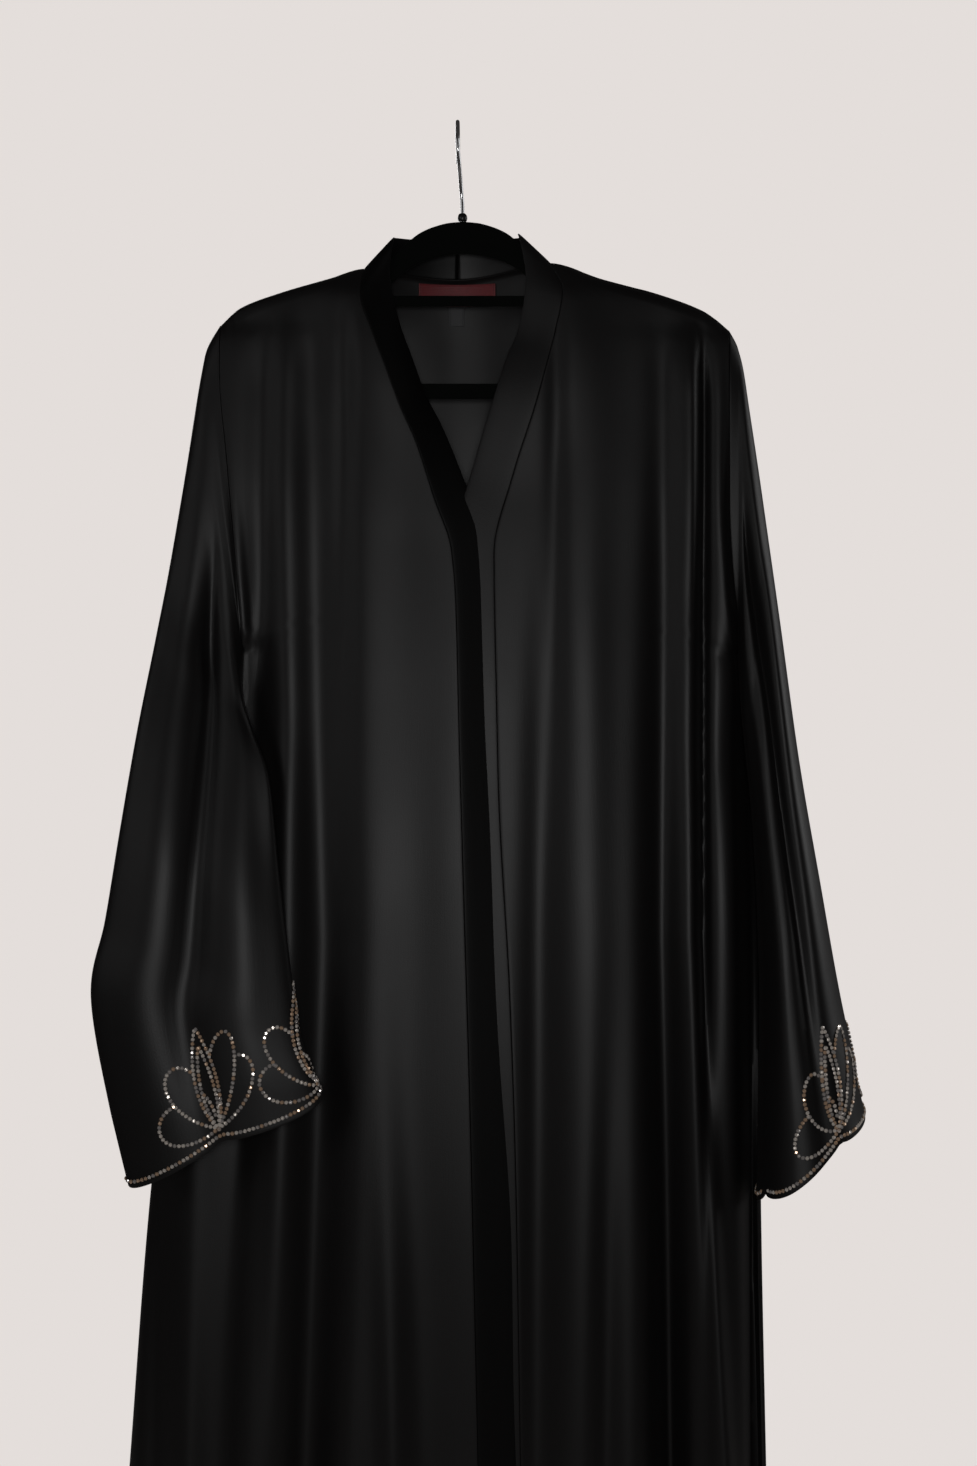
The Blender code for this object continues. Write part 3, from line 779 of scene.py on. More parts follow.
    def beside_band(self, side: Side, band: Columns, x: np.ndarray, drop: np.ndarray) -> np.ndarray:
        """How far the front rides up beside its own band.

        Args:
            side: The band's side.
            band: The band's rows.
            x: Places across.
            drop: Their drops.

        Returns:
            The distance, forward.
        """
        seam_x = smooth(drop, band["seam_drop"], band["seam_x"])
        lift = self.neck_lift[side] * ease(drop, 122, 150) * (1 - ease(drop, 220, 330))
        if side is Side.RIGHT:
            lift = lift + self.lap_lift * ease(drop, 230, 330)
        return lift * np.exp(-((x - seam_x) / self.lift_reach) ** 2)

    def neck_bow(self, x: np.ndarray, drop: np.ndarray) -> np.ndarray:
        """How far the back bows out round the neck.

        Args:
            x: Places across.
            drop: Their drops.

        Returns:
            The distance, backward.
        """
        half = (self.neck["left"] - self.neck["right"]) / 2
        across = (x - self.neck["centre"]) / half
        wider = np.clip(across * half / (half + self.bulge_spread), -1, 1)
        across = np.clip(across, -1, 1)
        run = np.maximum(drop - self.shoulder_drop(x), 0)
        (near_neck, below), (settles, fades) = self.bulge_powers, self.bulge_runs
        settled = ease(run, 0, settles)
        shape = (1 - settled) * (1 - across ** 2) ** near_neck + settled * (1 - wider ** 2) ** below
        return self.neck_bulge * shape * np.exp(-run / fades)


@dataclass
class Panel:
    """A body panel from the shoulder seam to the hem."""

    form: BodyForm
    name: str
    columns: int
    folds: Columns
    flat: tuple[float, float]
    cut_area: float
    thickness: float = 1.1
    rounding: float = 0.35

    def edges(self) -> tuple[Any, Any]:
        """The functions that give x on the two edges from the drop."""
        raise NotImplementedError

    def ends(self) -> tuple[float, float]:
        """x at the two ends of the panel's top edge."""
        raise NotImplementedError

    def depth(self, x: np.ndarray, drop: np.ndarray) -> np.ndarray:
        """The panel's y."""
        raise NotImplementedError

    def at_runs(self, edge: int, runs: np.ndarray) -> Points:
        """Points on one edge of the panel.

        Args:
            edge: 0 for the low-x edge and 1 for the high-x edge.
            runs: Runs below the shoulder seam.

        Returns:
            One point for each run.
        """
        top = self.form.shoulder_drop(self.ends()[edge])
        drop = top + runs * (self.form.hem_drop - top) / ROW_RUNS[-1]
        x = self.edges()[edge](drop)
        return np.stack([x, self.depth(x, drop), -drop], axis=1)

    def grid(self) -> Points:
        """Rows of points whose columns are spaced along the cloth.

        Returns:
            The points in millimetres.
        """
        low, high = self.ends()
        fine = np.linspace(0, 1, 900)
        columns = np.linspace(0, 1, self.columns + 1)
        low_edge, high_edge = self.edges()
        rows = []
        for run in self.form.runs():
            top = self.form.shoulder_drop(low + (high - low) * fine)
            drop = top + run * (self.form.hem_drop - top) / ROW_RUNS[-1]
            x = low_edge(drop) + (high_edge(drop) - low_edge(drop)) * fine
            y = self.depth(x, drop)
            length = np.concatenate(([0], np.cumsum(np.hypot(np.diff(x), np.diff(y)))))
            pick = columns + (np.interp(columns * length[-1], length, fine) - columns) * ease(run, 60, 320)
            x, drop = np.interp(pick, fine, x), np.interp(pick, fine, drop)
            rows.append(np.stack([x, self.depth(x, drop), -drop], axis=1))
        return np.array(rows)

    def build(self) -> Piece:
        """The dressed panel, in its solid's place.

        Returns:
            The panel.
        """
        obj = grid_object(f"{self.name}_cloth", self.grid(), CLOTH)
        thicken(obj, self.thickness, self.rounding)
        declare_cloth(obj, self.name)
        return obj


@dataclass
class FrontPanel(Panel):
    """One front, from its side to its band's seam."""

    side: Side = Side.RIGHT
    band: Columns = field(default_factory=dict)

    def band_x(self, drop: np.ndarray) -> np.ndarray:
        """x of the band's seam."""
        return smooth(drop, self.band["seam_drop"], self.band["seam_x"])

    def edges(self) -> tuple[Any, Any]:
        """Low-x and high-x edges; the side is the outer one."""
        outer = partial(self.form.side_x, self.side)
        return (outer, self.band_x) if self.side is Side.RIGHT else (self.band_x, outer)

    def ends(self) -> tuple[float, float]:
        """The shoulder tip and the neck point, in the order of x."""
        outer, neck = self.form.sides[self.side]["x"][0], self.band["seam_x"][0]
        return (outer, neck) if self.side is Side.RIGHT else (neck, outer)

    def depth(self, x: np.ndarray, drop: np.ndarray) -> np.ndarray:
        """The front's y, which rides up beside its band."""
        out = self.form.wall_out(Face.FRONT, self.folds, x, drop)
        return -out - self.form.beside_band(self.side, self.band, x, drop) - self.form.side_lean(x, drop)

    def side_edge(self, runs: np.ndarray) -> Points:
        """The panel's outer edge."""
        return self.at_runs(0 if self.side is Side.RIGHT else 1, runs)

    def seam_edge(self, runs: np.ndarray) -> Points:
        """The panel's edge along its band."""
        return self.at_runs(1 if self.side is Side.RIGHT else 0, runs)


@dataclass
class BackPanel(Panel):
    """The back, in one piece from side to side."""

    def edges(self) -> tuple[Any, Any]:
        """The two sides."""
        return partial(self.form.side_x, Side.RIGHT), partial(self.form.side_x, Side.LEFT)

    def ends(self) -> tuple[float, float]:
        """The two shoulder tips."""
        return self.form.sides[Side.RIGHT]["x"][0], self.form.sides[Side.LEFT]["x"][0]

    def depth(self, x: np.ndarray, drop: np.ndarray) -> np.ndarray:
        """The back's y, bowed round the neck."""
        out = self.form.wall_out(Face.BACK, self.folds, x, drop)
        return out + self.form.neck_bow(x, drop) - self.form.side_lean(x, drop)

    def neck_edge(self, side: Side, count: int = 24) -> Points:
        """The back neck seam from one neck point to the centre back.

        Args:
            side: The side of the neck point.
            count: How many points.

        Returns:
            The points in order.
        """
        x = np.linspace(self.form.neck[side.value], self.form.neck["centre"], count)
        drop = self.form.shoulder_drop(x)
        return np.stack([x, self.depth(x, drop), -drop], axis=1)


@dataclass
class Sleeve:
    """A wide sleeve that hangs flattened from its armhole to a scalloped hem."""

    side: Side
    rows: Columns
    flat: tuple[float, float]
    cut_area: float
    rings_count: int = 150
    scallops: int = 4
    scallop_deep: float = 11.0
    scallop_power: float = 0.55
    seam_turn: float = 0.0
    thickness: float = 1.1
    rounding: float = 0.35
    armhole_gap: float = 0.4
    underarm_gap: float = 0.7
    underarm_lift: float = 1.0
    roundness: float = 2.2
    blended_rings: int = 16
    blend_rounds: int = 12
    folds: Columns = field(default_factory=lambda: table(
        "top_place cuff_place reach front_out back_out",
        (0.50, 0.44, 0.09, -10, -2), (0.24, 0.20, 0.11, 4, 2), (0.78, 0.74, 0.11, 4, -6),
        (0.36, 0.42, 0.10, 0, -5)))
    rings: Points = field(default_factory=lambda: np.zeros((0, 0, 3)))

    def armhole(self, front: Points, back: Points) -> Points:
        """The first ring, on the armhole's own edges and just outside them.

        Args:
            front: The front's armhole edge.
            back: The back's armhole edge.

        Returns:
            The ring's points, from the shoulder tip down the front and up the back.
        """
        front, back = front.copy(), back.copy()
        along = np.linspace(0, 1, len(front))
        low = ease(along, 0.7, 1)
        for edge in (front, back):
            edge[:, 0] += self.side.outward * (self.armhole_gap + self.underarm_gap * low)
            edge[:, 2] += self.underarm_lift * low
        top, bottom = (front[0] + back[0]) / 2, (front[-1] + back[-1]) / 2
        return np.vstack(([top], front[1:-1], [bottom], back[-2:0:-1]))

    def ring(self, t: float, along: np.ndarray) -> Points:
        """One flattened section.

        Args:
            t: The section's place among the table's rows, from 1.
            along: Shares of the way from the outer to the inner end at the armhole.

        Returns:
            The ring's points: front face from outer to inner end, then the back face.
        """
        count = len(self.rows["half"])
        stations = np.arange(1, count + 1, dtype=float)
        at = {name: float(smooth(t, stations, column)) for name, column in self.rows.items()}
        even = (1 - np.cos(np.linspace(0, math.pi, len(along)))) / 2
        share = along + (even - along) * ease(t, 1, 4)
        thick = at["half"] * (1 - np.abs(2 * share - 1) ** self.roundness) ** (1 / self.roundness)
        down = (t - 1) / (count - 1)
        x = at["outer_x"] + (at["inner_x"] - at["outer_x"]) * share
        drop = at["outer_drop"] + (at["inner_drop"] - at["outer_drop"]) * share
        turned = share ** (5 - 4 * ease(t, 4, 7))
        middle = -(at["outer_front"] + (at["inner_front"] - at["outer_front"]) * turned)
        faces = []
        for sign, out in ((-1, "front_out"), (1, "back_out")):
            fold = np.zeros_like(share)
            for row in range(len(self.folds["reach"])):
                place = self.folds["top_place"][row]
                place += (self.folds["cuff_place"][row] - place) * down
                fold += self.folds[out][row] * np.exp(-((share - place) / self.folds["reach"][row]) ** 2)
            fold *= ease(down, 0.1, 0.35) * (1 - 0.7 * ease(down, 0.72, 1)) * np.sin(math.pi * share) ** 0.5
            faces.append(np.stack([x, middle + sign * (thick + fold), -drop], axis=1))
        return np.vstack((faces[0], faces[1][-2:0:-1]))

    def scallop(self, count: int) -> np.ndarray:
        """How far each point of the hem hangs below its ring; the curve is fullest next to its cusps."""
        turns = (np.arange(count) / count - self.seam_turn) * self.scallops
        return self.scallop_deep * np.abs(np.sin(math.pi * turns)) ** self.scallop_power

    def shape(self, front: Points, back: Points, runs: np.ndarray) -> Points:
        """All the rings, from the armhole to the hem.

        Args:
            front: The front's armhole edge.
            back: The back's armhole edge.
            runs: The runs at which both edges' points lie.

        Returns:
            Rings of points in millimetres.
        """
        along = runs / UNDERARM_RUN
        rings = [self.armhole(front, back)]
        last = len(self.rows["half"])
        stations = np.linspace(1, last, self.rings_count)
        first = self.ring(1.0, along)
        rings.extend(rings[0] + (first - rings[0]) * share for share in (0.25, 0.5, 0.75))
        for t in stations:
            ring = self.ring(float(t), along)
            ring[:, 2] -= self.scallop(len(ring)) * ease(t, last - 0.75, last)
            rings.append(ring)
        settled = np.array(rings)
        top = self.blended_rings
        for _ in range(self.blend_rounds):
            settled[1:top] = (settled[:top - 1] + 2 * settled[1:top] + settled[2:top + 1]) / 4
        self.rings = settled
        return settled

    def build(self, front: Points, back: Points, runs: np.ndarray) -> Piece:
        """The dressed sleeve, in its solid's place.

        Args:
            front: The front's armhole edge.
            back: The back's armhole edge.
            runs: The runs at which both edges' points lie.

        Returns:
            The sleeve.
        """
        grid = self.shape(front, back, runs)
        name = f"sleeve_{self.side.value}"
        obj = grid_object(f"{name}_cloth", grid, CLOTH, closed=True)
        thicken(obj, self.thickness, self.rounding)
        declare_cloth(obj, name)
        return obj

    def around_at(self, around: float, across: float) -> float:
        """The place round the ring that lies a given way across the cloth from another.

        Args:
            around: Share of the way round the ring by its points.
            across: Distance along the cloth from there, in millimetres.

        Returns:
            The share by points of the new place.
        """
        ring = self.rings[-10]
        step = np.linalg.norm(np.roll(ring, -1, axis=0) - ring, axis=1)
        length = np.concatenate(([0], np.cumsum(np.concatenate((step, step, step)))))
        index = np.arange(len(length)) / len(ring)
        start = np.interp(1 + around % 1.0, index, length)
        return float(np.interp(start + across, length, index)) - 1

    def place(self, around: float, above: float) -> tuple[np.ndarray, np.ndarray]:
        """A point on the sleeve's outside and the way out from it.

        Args:
            around: Share of the way round the ring from its outer end.
            above: Distance up the cloth from the hem, in millimetres.

        Returns:
            The point, and the unit vector that points out of the sleeve.
        """
        count = self.rings.shape[1]
        column = (around % 1.0) * count
        low = int(column) % count
        share = column - int(column)

        def up(at: int, height: float) -> np.ndarray:
            """The point a given way up one column.

            Args:
                at: The column's number.
                height: The way up it from the hem, in millimetres.

            Returns:
                The point.
            """
            line = self.rings[::-1, at % count][:60]
            length = np.concatenate(([0], np.cumsum(np.linalg.norm(np.diff(line, axis=0), axis=1))))
            return np.array([np.interp(height, length, line[:, axis]) for axis in range(3)])

        here = up(low, above) * (1 - share) + up(low + 1, above) * share
        rise = up(low, above + 3) - up(low, max(above - 3, 0))
        across = up(low + 2, above) - up(low - 1, above)
        out = np.cross(rise, across) * self.side.outward
        return here, out / np.linalg.norm(out)


@dataclass
class Band:
    """A front band in folded cloth, from the centre back round the neck and down to the hem."""

    side: Side
    rows: Columns
    flat: tuple[float, float]
    finish: Finish
    thickness: float = 1.9
    across_steps: int = 9
    seam_gap: float = 0.006
    crowding: float = 0.55
    edge_power: float = 0.42
    edge_full: float = 1.02
    collar: Columns = field(default_factory=lambda: table(
        "share free_share drop y",
        (0, 0.32, 97, 3), (0.25, 0.5, 96, 13), (0.6, 0.76, 95, 20), (1, 1, 95, 22)))

    def stations(self, panel_edge: Points, neck_edge: Points, form: BodyForm) -> list[tuple[Points, Points]]:
        """Pairs of a seam point and a free-edge point along the band.

        Args:
            panel_edge: The front panel's seam edge, top to hem.
            neck_edge: The back neck seam, neck point to centre back.
            form: The body that it belongs to.

        Returns:
            The pairs, from the centre back to the hem.
        """
        pairs = []
        neck_x = form.neck[self.side.value]
        collar_half = form.neck["centre"] - neck_x
        for point in neck_edge[::-1]:
            share = float(np.clip((point[0] - neck_x) / collar_half, 0, 1))
            free_share, free_drop, free_y = (
                smooth(share, self.collar["share"], self.collar[name])
                for name in ("free_share", "drop", "y"))
            pairs.append((point, np.array([neck_x + collar_half * free_share, free_y, -free_drop])))
        for point in panel_edge[1:]:
            drop = -point[2]
            free_x, free_drop, behind = (
                smooth(drop, self.rows["seam_drop"], self.rows[name])
                for name in ("free_x", "free_drop", "behind"))
            pairs.append((point, np.array([free_x, point[1] + behind, -free_drop])))
        return pairs

    def build(self, panel_edge: Points, neck_edge: Points, form: BodyForm) -> Piece:
        """The band as a closed flat tube with rounded edges.

        Args:
            panel_edge: The front panel's seam edge, top to hem.
            neck_edge: The back neck seam, neck point to centre back.
            form: The body that it belongs to.

        Returns:
            The dressed band.
        """
        pairs = self.stations(panel_edge, neck_edge, form)
        seams, frees = (np.array(points) for points in zip(*pairs))
        run = np.gradient(seams, axis=0) + np.gradient(frees, axis=0)
        across = frees - seams
        facing = np.cross(run, across)
        facing /= np.linalg.norm(facing, axis=1)[:, None]
        turn = np.linspace(0, math.pi, self.across_steps * 2)
        crowded = np.sign(np.cos(turn)) * np.abs(np.cos(turn)) ** self.crowding
        share = self.seam_gap + (1 - self.seam_gap) * (1 - crowded) / 2
        puff = self.thickness / 2 * np.minimum(1, np.sin(turn) ** self.edge_power * self.edge_full)
        loop = np.concatenate((share, share[-2:0:-1]))
        height = np.concatenate((puff, -puff[-2:0:-1]))
        height[[0, self.across_steps * 2 - 1]] = 0
        grid = seams[:, None] + across[:, None] * loop[:, None] + facing[:, None] * height[:, None]
        name = f"band_{self.side.value}"
        obj = grid_object(f"{name}_cloth", grid, self.finish, closed=True)
        mend(obj.data, fill=True)
        declare_cloth(obj, name)
        return obj


@dataclass
class Label:
    """A woven label stitched to the inside of the back."""

    name: str
    slot: str
    finish: Finish
    thread: Finish
    left: float
    right: float
    top: float
    bottom: float
    thickness: float = 0.9
    rounding: float = 0.25
    off: float = 1.9
    stitch: float = 2.2
    stitch_off: float = 2.45
    stitch_inset: float = 1.5
    thread_radius: float = 0.22

    def surface(self, back: BackPanel, x: np.ndarray, drop: np.ndarray, off: float) -> Points:
        """Points a little way off the back's inner face."""
        return np.stack([x, back.depth(x, drop) - off, -drop], axis=-1)

    def build(self, back: BackPanel) -> list[Piece]:
        """The label and its rows of stitches.

        Args:
            back: The panel that it is sewn to.

        Returns:
            The label and its stitches.
        """
        xs = np.linspace(self.left, self.right, 25)
        drops = np.linspace(self.top, self.bottom, 9)
        grid = np.array([self.surface(back, xs, np.full_like(xs, drop), self.off) for drop in drops])
        obj = grid_object(f"{self.name}_tape", grid, self.finish)
        thicken(obj, self.thickness, self.rounding)
        dress(obj, self.name)
        runs = []
        for x in (self.left + self.stitch_inset, self.right - self.stitch_inset):
            line = np.linspace(self.top + 1, self.bottom - 1, 12)
            runs.append(self.surface(back, np.full_like(line, x), line, self.stitch_off))
        sewn = stitches(f"{self.name}_stitches", runs, self.stitch, self.thread_radius, self.thread)
        dress(sewn)
        return [obj, sewn]


# What repeats along a path


def path_mesh(name: str, runs: Sequence[Points], outs: Sequence[Points] | None = None) -> Piece:
    """A mesh of open lines, in millimetres, with the way out stored at each point.

    Args:
        name: The object's name.
        runs: The lines' points.
        outs: A unit vector for each point.

    Returns:
        The object that a geometry tree grows from.
    """
    verts = np.vstack(runs) * MM
    edges: list[tuple[int, int]] = []
    start = 0
    for line in runs:
        edges.extend((start + at, start + at + 1) for at in range(len(line) - 1))
        start += len(line)
    mesh = bpy.data.meshes.new(name)
    mesh.from_pydata(verts.tolist(), edges, [])
    if outs is not None:
        layer = mesh.attributes.new("outward", "FLOAT_VECTOR", "POINT")
        layer.data.foreach_set("vector", np.vstack(outs).ravel())
    obj = bpy.data.objects.new(name, mesh)
    bpy.context.collection.objects.link(obj)
    return obj


def geometry_tree(name: str, inputs: Mapping[str, tuple[str, Any]]) -> tuple[Tree, Any]:
    """A new geometry tree with named inputs.

    Args:
        name: The tree's name.
        inputs: Each input's socket type and value.

    Returns:
        The tree and its input node.
    """
    tree = bpy.data.node_groups.new(name, "GeometryNodeTree")
    tree.interface.new_socket("Geometry", in_out="INPUT", socket_type="NodeSocketGeometry")
    for label, (kind, value) in inputs.items():
        socket = tree.interface.new_socket(label, in_out="INPUT", socket_type=kind)
        socket.default_value = value
    tree.interface.new_socket("Geometry", in_out="OUTPUT", socket_type="NodeSocketGeometry")
    return tree, add_node(tree, "NodeGroupInput")


def even_points(tree: Tree, given: Node) -> Socket:
    """Points at each pitch along the lines that a tree is given.

    Args:
        tree: The geometry tree.
        given: The tree's input node.

    Returns:
        The socket of the lines with those points.
    """
    line = add_node(tree, "GeometryNodeMeshToCurve", {0: given.outputs["Geometry"]})
    lengths = {"Curve": line.outputs[0], "Length": given.outputs["Pitch"]}
    return add_node(tree, "GeometryNodeResampleCurve", lengths, mode="LENGTH").outputs[0]


def finish_tree(tree: Tree, laid: Node, finish: Finish) -> None:
    """Ends a tree: its instances made real, in one finish.

    Args:
        tree: The geometry tree.
        laid: The node whose first output has the instances.
        finish: Their finish.
    """
    whole = add_node(tree, "GeometryNodeRealizeInstances", {0: laid.outputs[0]})
    dressed = add_node(tree, "GeometryNodeSetMaterial", {
        "Geometry": whole.outputs[0], "Material": finish.material()})
    add_node(tree, "NodeGroupOutput", {0: dressed.outputs[0]})


def grow(obj: Piece, tree: Tree, values: Mapping[str, Any]) -> None:
    """Runs a geometry tree on an object and keeps the result as a plain mesh.

    Args:
        obj: The object whose lines the tree grows from.
        tree: The tree.
        values: The tree's inputs by name.
    """
    modifier = obj.modifiers.new("grow", "NODES")
    modifier.node_group = tree
    for item in tree.interface.items_tree:
        if item.in_out == "INPUT" and item.name in values:
            modifier[item.identifier] = values[item.name]
    plain_mesh(obj)


def stitches(name: str, runs: Sequence[Points], length: float, radius: float,
             finish: Finish) -> Piece:
    """Rows of short stitches along lines.

    Args:
        name: The object's name.
        runs: The rows' points in millimetres.
        length: One stitch and its gap, in millimetres.
        radius: The thread's radius in millimetres.
        finish: The thread's finish.

    Returns:
        The stitches as one mesh.
    """
    tree, given = geometry_tree("stitches", {
        "Pitch": ("NodeSocketFloat", 0.002), "Radius": ("NodeSocketFloat", 0.0002)})
    bar = add_node(tree, "GeometryNodeMeshCylinder", {
        "Vertices": 6, "Radius": given.outputs["Radius"], "Depth": times(tree, given.outputs["Pitch"], 0.72)})
    tangent = add_node(tree, "GeometryNodeInputTangent")
    turn = add_node(tree, "FunctionNodeAlignRotationToVector", {"Vector": tangent.outputs[0]}, axis="Z")
    laid = add_node(tree, "GeometryNodeInstanceOnPoints", {
        "Points": even_points(tree, given), "Instance": bar.outputs["Mesh"], "Rotation": turn.outputs[0]})
    finish_tree(tree, laid, finish)
    obj = path_mesh(name, runs)
    grow(obj, tree, {"Pitch": length * MM, "Radius": radius * MM})
    return obj


@dataclass(frozen=True)
class Petal:
    """One petal of the lotus, as a closed outline that starts and ends at the flower's base."""

    turn: float
    length: float
    width: float
    pointed: bool = False

    def outline(self, count: int = 70) -> np.ndarray:
        """The outline's points across and up, in millimetres.

        Args:
            count: How many points.

        Returns:
            One row for each point.
        """
        base_power, tip_power = (0.9, 0.95) if self.pointed else (0.95, 0.5)
        widest = base_power / (base_power + tip_power)
        most = widest ** base_power * (1 - widest) ** tip_power
        t = (1 - np.cos(np.linspace(0, 2 * math.pi, count))) / 2
        half = self.width / 2 * t ** base_power * (1 - t) ** tip_power / most
        side = np.where(np.arange(count) < count / 2, 1, -1)
        x, y = side * half, self.length * t
        cosine, sine = math.cos(math.radians(self.turn)), math.sin(math.radians(self.turn))
        return np.stack([x * cosine + y * sine, y * cosine - x * sine], axis=1)


def inside(points: np.ndarray, outline: np.ndarray) -> np.ndarray:
    """Whether each point lies within a closed outline.

    Args:
        points: The points.
        outline: The outline's points in order.

    Returns:
        One truth for each point.
    """
    x, y = points[:, 0][:, None], points[:, 1][:, None]
    x0, y0 = outline[:, 0], outline[:, 1]
    x1, y1 = np.roll(x0, -1), np.roll(y0, -1)
    spans = (y0 > y) != (y1 > y)
    reach = (x1 - x0) * (y - y0) / np.where(y1 == y0, 1e-9, y1 - y0) + x0
    return (np.logical_and(spans, x < reach).sum(axis=1) % 2).astype(bool)


@dataclass
class CrystalTrim:
    """Rows of crystals on a sleeve: lotus flowers over the scallops' cusps, and the scalloped edge."""

    sleeve: Sleeve
    pitch: float = 3.6
    stone: float = 1.75
    edge_inset: float = 5.5
    base_above: float = 11.0
    off_cloth: float = 0.5
    edge_from_seam: float = 0.018
    edge_points: int = 240
    seed: int = 5
    petals: tuple[Petal, ...] = (
        Petal(0, 85, 20, pointed=True), Petal(18, 82, 22), Petal(-24, 72, 25), Petal(34, 66, 28),
        Petal(-54, 56, 30))
    inner: Petal = Petal(0, 70, 12, pointed=True)
    pistil: tuple[tuple[float, float], ...] = ((0.5, 12), (0.2, 17), (-0.6, 22), (-2.4, 27), (-4.6, 31))

    def flower_lines(self) -> list[np.ndarray]:
        """The lotus as open lines across and up, each petal cut where a nearer one hides it.

        Returns:
            The lines.
        """
        lines = [self.inner.outline()]
        hiding: list[np.ndarray] = []
        for petal in self.petals:
            outline = petal.outline()
            shown = np.ones(len(outline), bool)
            for nearer in hiding:
                shown &= ~inside(outline, nearer)
            lines.extend(run for run in self.split(outline, shown) if len(run) > 3)
            hiding.append(outline)
        lines.append(np.array(self.pistil))
        return lines

    @staticmethod
    def split(points: np.ndarray, shown: np.ndarray) -> list[np.ndarray]:
        """The runs of points that show.

        Args:
            points: A line.
            shown: Whether each of its points shows.

        Returns:
            The parts of the line that show.
        """
        runs: list[np.ndarray] = []
        start = None
        for at, seen in enumerate(shown):
            if seen and start is None:
                start = at
            if start is not None and (not seen or at == len(shown) - 1):
                runs.append(points[start:at + int(seen)])
                start = None
        return runs

    def on_sleeve(self, line: np.ndarray, around: float) -> tuple[Points, Points]:
        """A flower's line laid on the sleeve.

        Args:
            line: Points across and up from the flower's base.
            around: The base's place round the hem.

        Returns:
            The points just off the cloth, and the way out at each.
        """
        turned = -self.sleeve.side.outward
        return self.off_sleeve([
            (self.sleeve.around_at(around, turned * across), self.base_above + up) for across, up in line])

    def off_sleeve(self, places: Sequence[tuple[float, float]]) -> tuple[Points, Points]:
        """Points just off the sleeve at places round it and above its hem, and the way out at each."""
        here, outs = (np.array(column) for column in zip(*(self.sleeve.place(*place) for place in places)))
        return here + outs * (self.sleeve.thickness / 2 + self.off_cloth), outs

    def edge_line(self) -> tuple[Points, Points]:
        """The row that follows the scalloped edge, open at the seam's corner."""
        turns = np.linspace(self.edge_from_seam, 1 - self.edge_from_seam, self.edge_points)
        return self.off_sleeve([(float(around), self.edge_inset) for around in self.sleeve.seam_turn + turns])

    def tree(self) -> Tree:
        """The tree that sets a cut stone in its cup at each pitch along the lines.

        Returns:
            The tree.
        """
        tree, given = geometry_tree("crystals", {
            "Pitch": ("NodeSocketFloat", 0.0034), "Stone": ("NodeSocketFloat", 0.0016),
            "Seed": ("NodeSocketInt", 0)})
        radius = given.outputs["Stone"]
        small, cup_deep = times(tree, radius, 0.56), times(tree, radius, 0.7)
        crown = add_node(tree, "GeometryNodeMeshCone", {
            "Vertices": 8, "Radius Top": small, "Radius Bottom": radius, "Depth": times(tree, radius, 0.62)})
        cup = add_node(tree, "GeometryNodeMeshCone", {
            "Vertices": 8, "Radius Top": radius, "Radius Bottom": small, "Depth": cup_deep})
        offset = add_node(tree, "ShaderNodeCombineXYZ", {"Z": times(tree, cup_deep, -1.0)})
        cup_low = add_node(tree, "GeometryNodeTransform", {
            "Geometry": cup.outputs["Mesh"], "Translation": offset.outputs[0]})
        stone = add_node(tree, "GeometryNodeJoinGeometry")
        for shape, mark in ((cup_low.outputs[0], 0.0), (crown.outputs["Mesh"], 1.0)):
            marked = add_node(tree, "GeometryNodeStoreNamedAttribute", {
                "Geometry": shape, "Name": "crown", "Value": mark}, data_type="FLOAT", domain="POINT")
            tree.links.new(marked.outputs[0], stone.inputs[0])
        outward = add_node(tree, "GeometryNodeInputNamedAttribute", {"Name": "outward"},
                           data_type="FLOAT_VECTOR")
        turn = add_node(tree, "FunctionNodeAlignRotationToVector", {"Vector": outward.outputs[0]}, axis="Z")
        spin = add_node(tree, "FunctionNodeRandomValue", {
            0: (-0.22, -0.22, 0.0), 1: (0.22, 0.22, math.tau), "Seed": given.outputs["Seed"]},
            data_type="FLOAT_VECTOR")
        tilt = add_node(tree, "FunctionNodeEulerToRotation", {0: spin.outputs[0]})
        both = add_node(tree, "FunctionNodeRotateRotation", {
            "Rotation": turn.outputs[0], "Rotate By": tilt.outputs[0]}, rotation_space="LOCAL")
        laid = add_node(tree, "GeometryNodeInstanceOnPoints", {
            "Points": even_points(tree, given), "Instance": stone.outputs[0], "Rotation": both.outputs[0]})
        shade = add_node(tree, "FunctionNodeRandomValue", {"Seed": given.outputs["Seed"]}, data_type="FLOAT")
        tinted = add_node(tree, "GeometryNodeStoreNamedAttribute", {
            "Geometry": laid.outputs[0], "Name": "tint", "Value": shade.outputs[1]},
            data_type="FLOAT", domain="INSTANCE")
        finish_tree(tree, tinted, CRYSTAL)
        return tree

    def build(self) -> Piece:
        """All of one sleeve's crystals as one piece.

        Returns:
            The crystals.
        """
        lines = [self.edge_line()]
        for cusp in range(1, self.sleeve.scallops):
            around = self.sleeve.seam_turn + cusp / self.sleeve.scallops
            lines.extend(self.on_sleeve(line, around) for line in self.flower_lines())
        name = f"sleeve_{self.sleeve.side.value}_crystals"
        obj = path_mesh(name, [line[0] for line in lines], [line[1] for line in lines])
        grow(obj, self.tree(), {"Pitch": self.pitch * MM, "Stone": self.stone * MM, "Seed": self.seed})
        obj.data.shade_flat()
        dress(obj)
        return obj


# The hanger


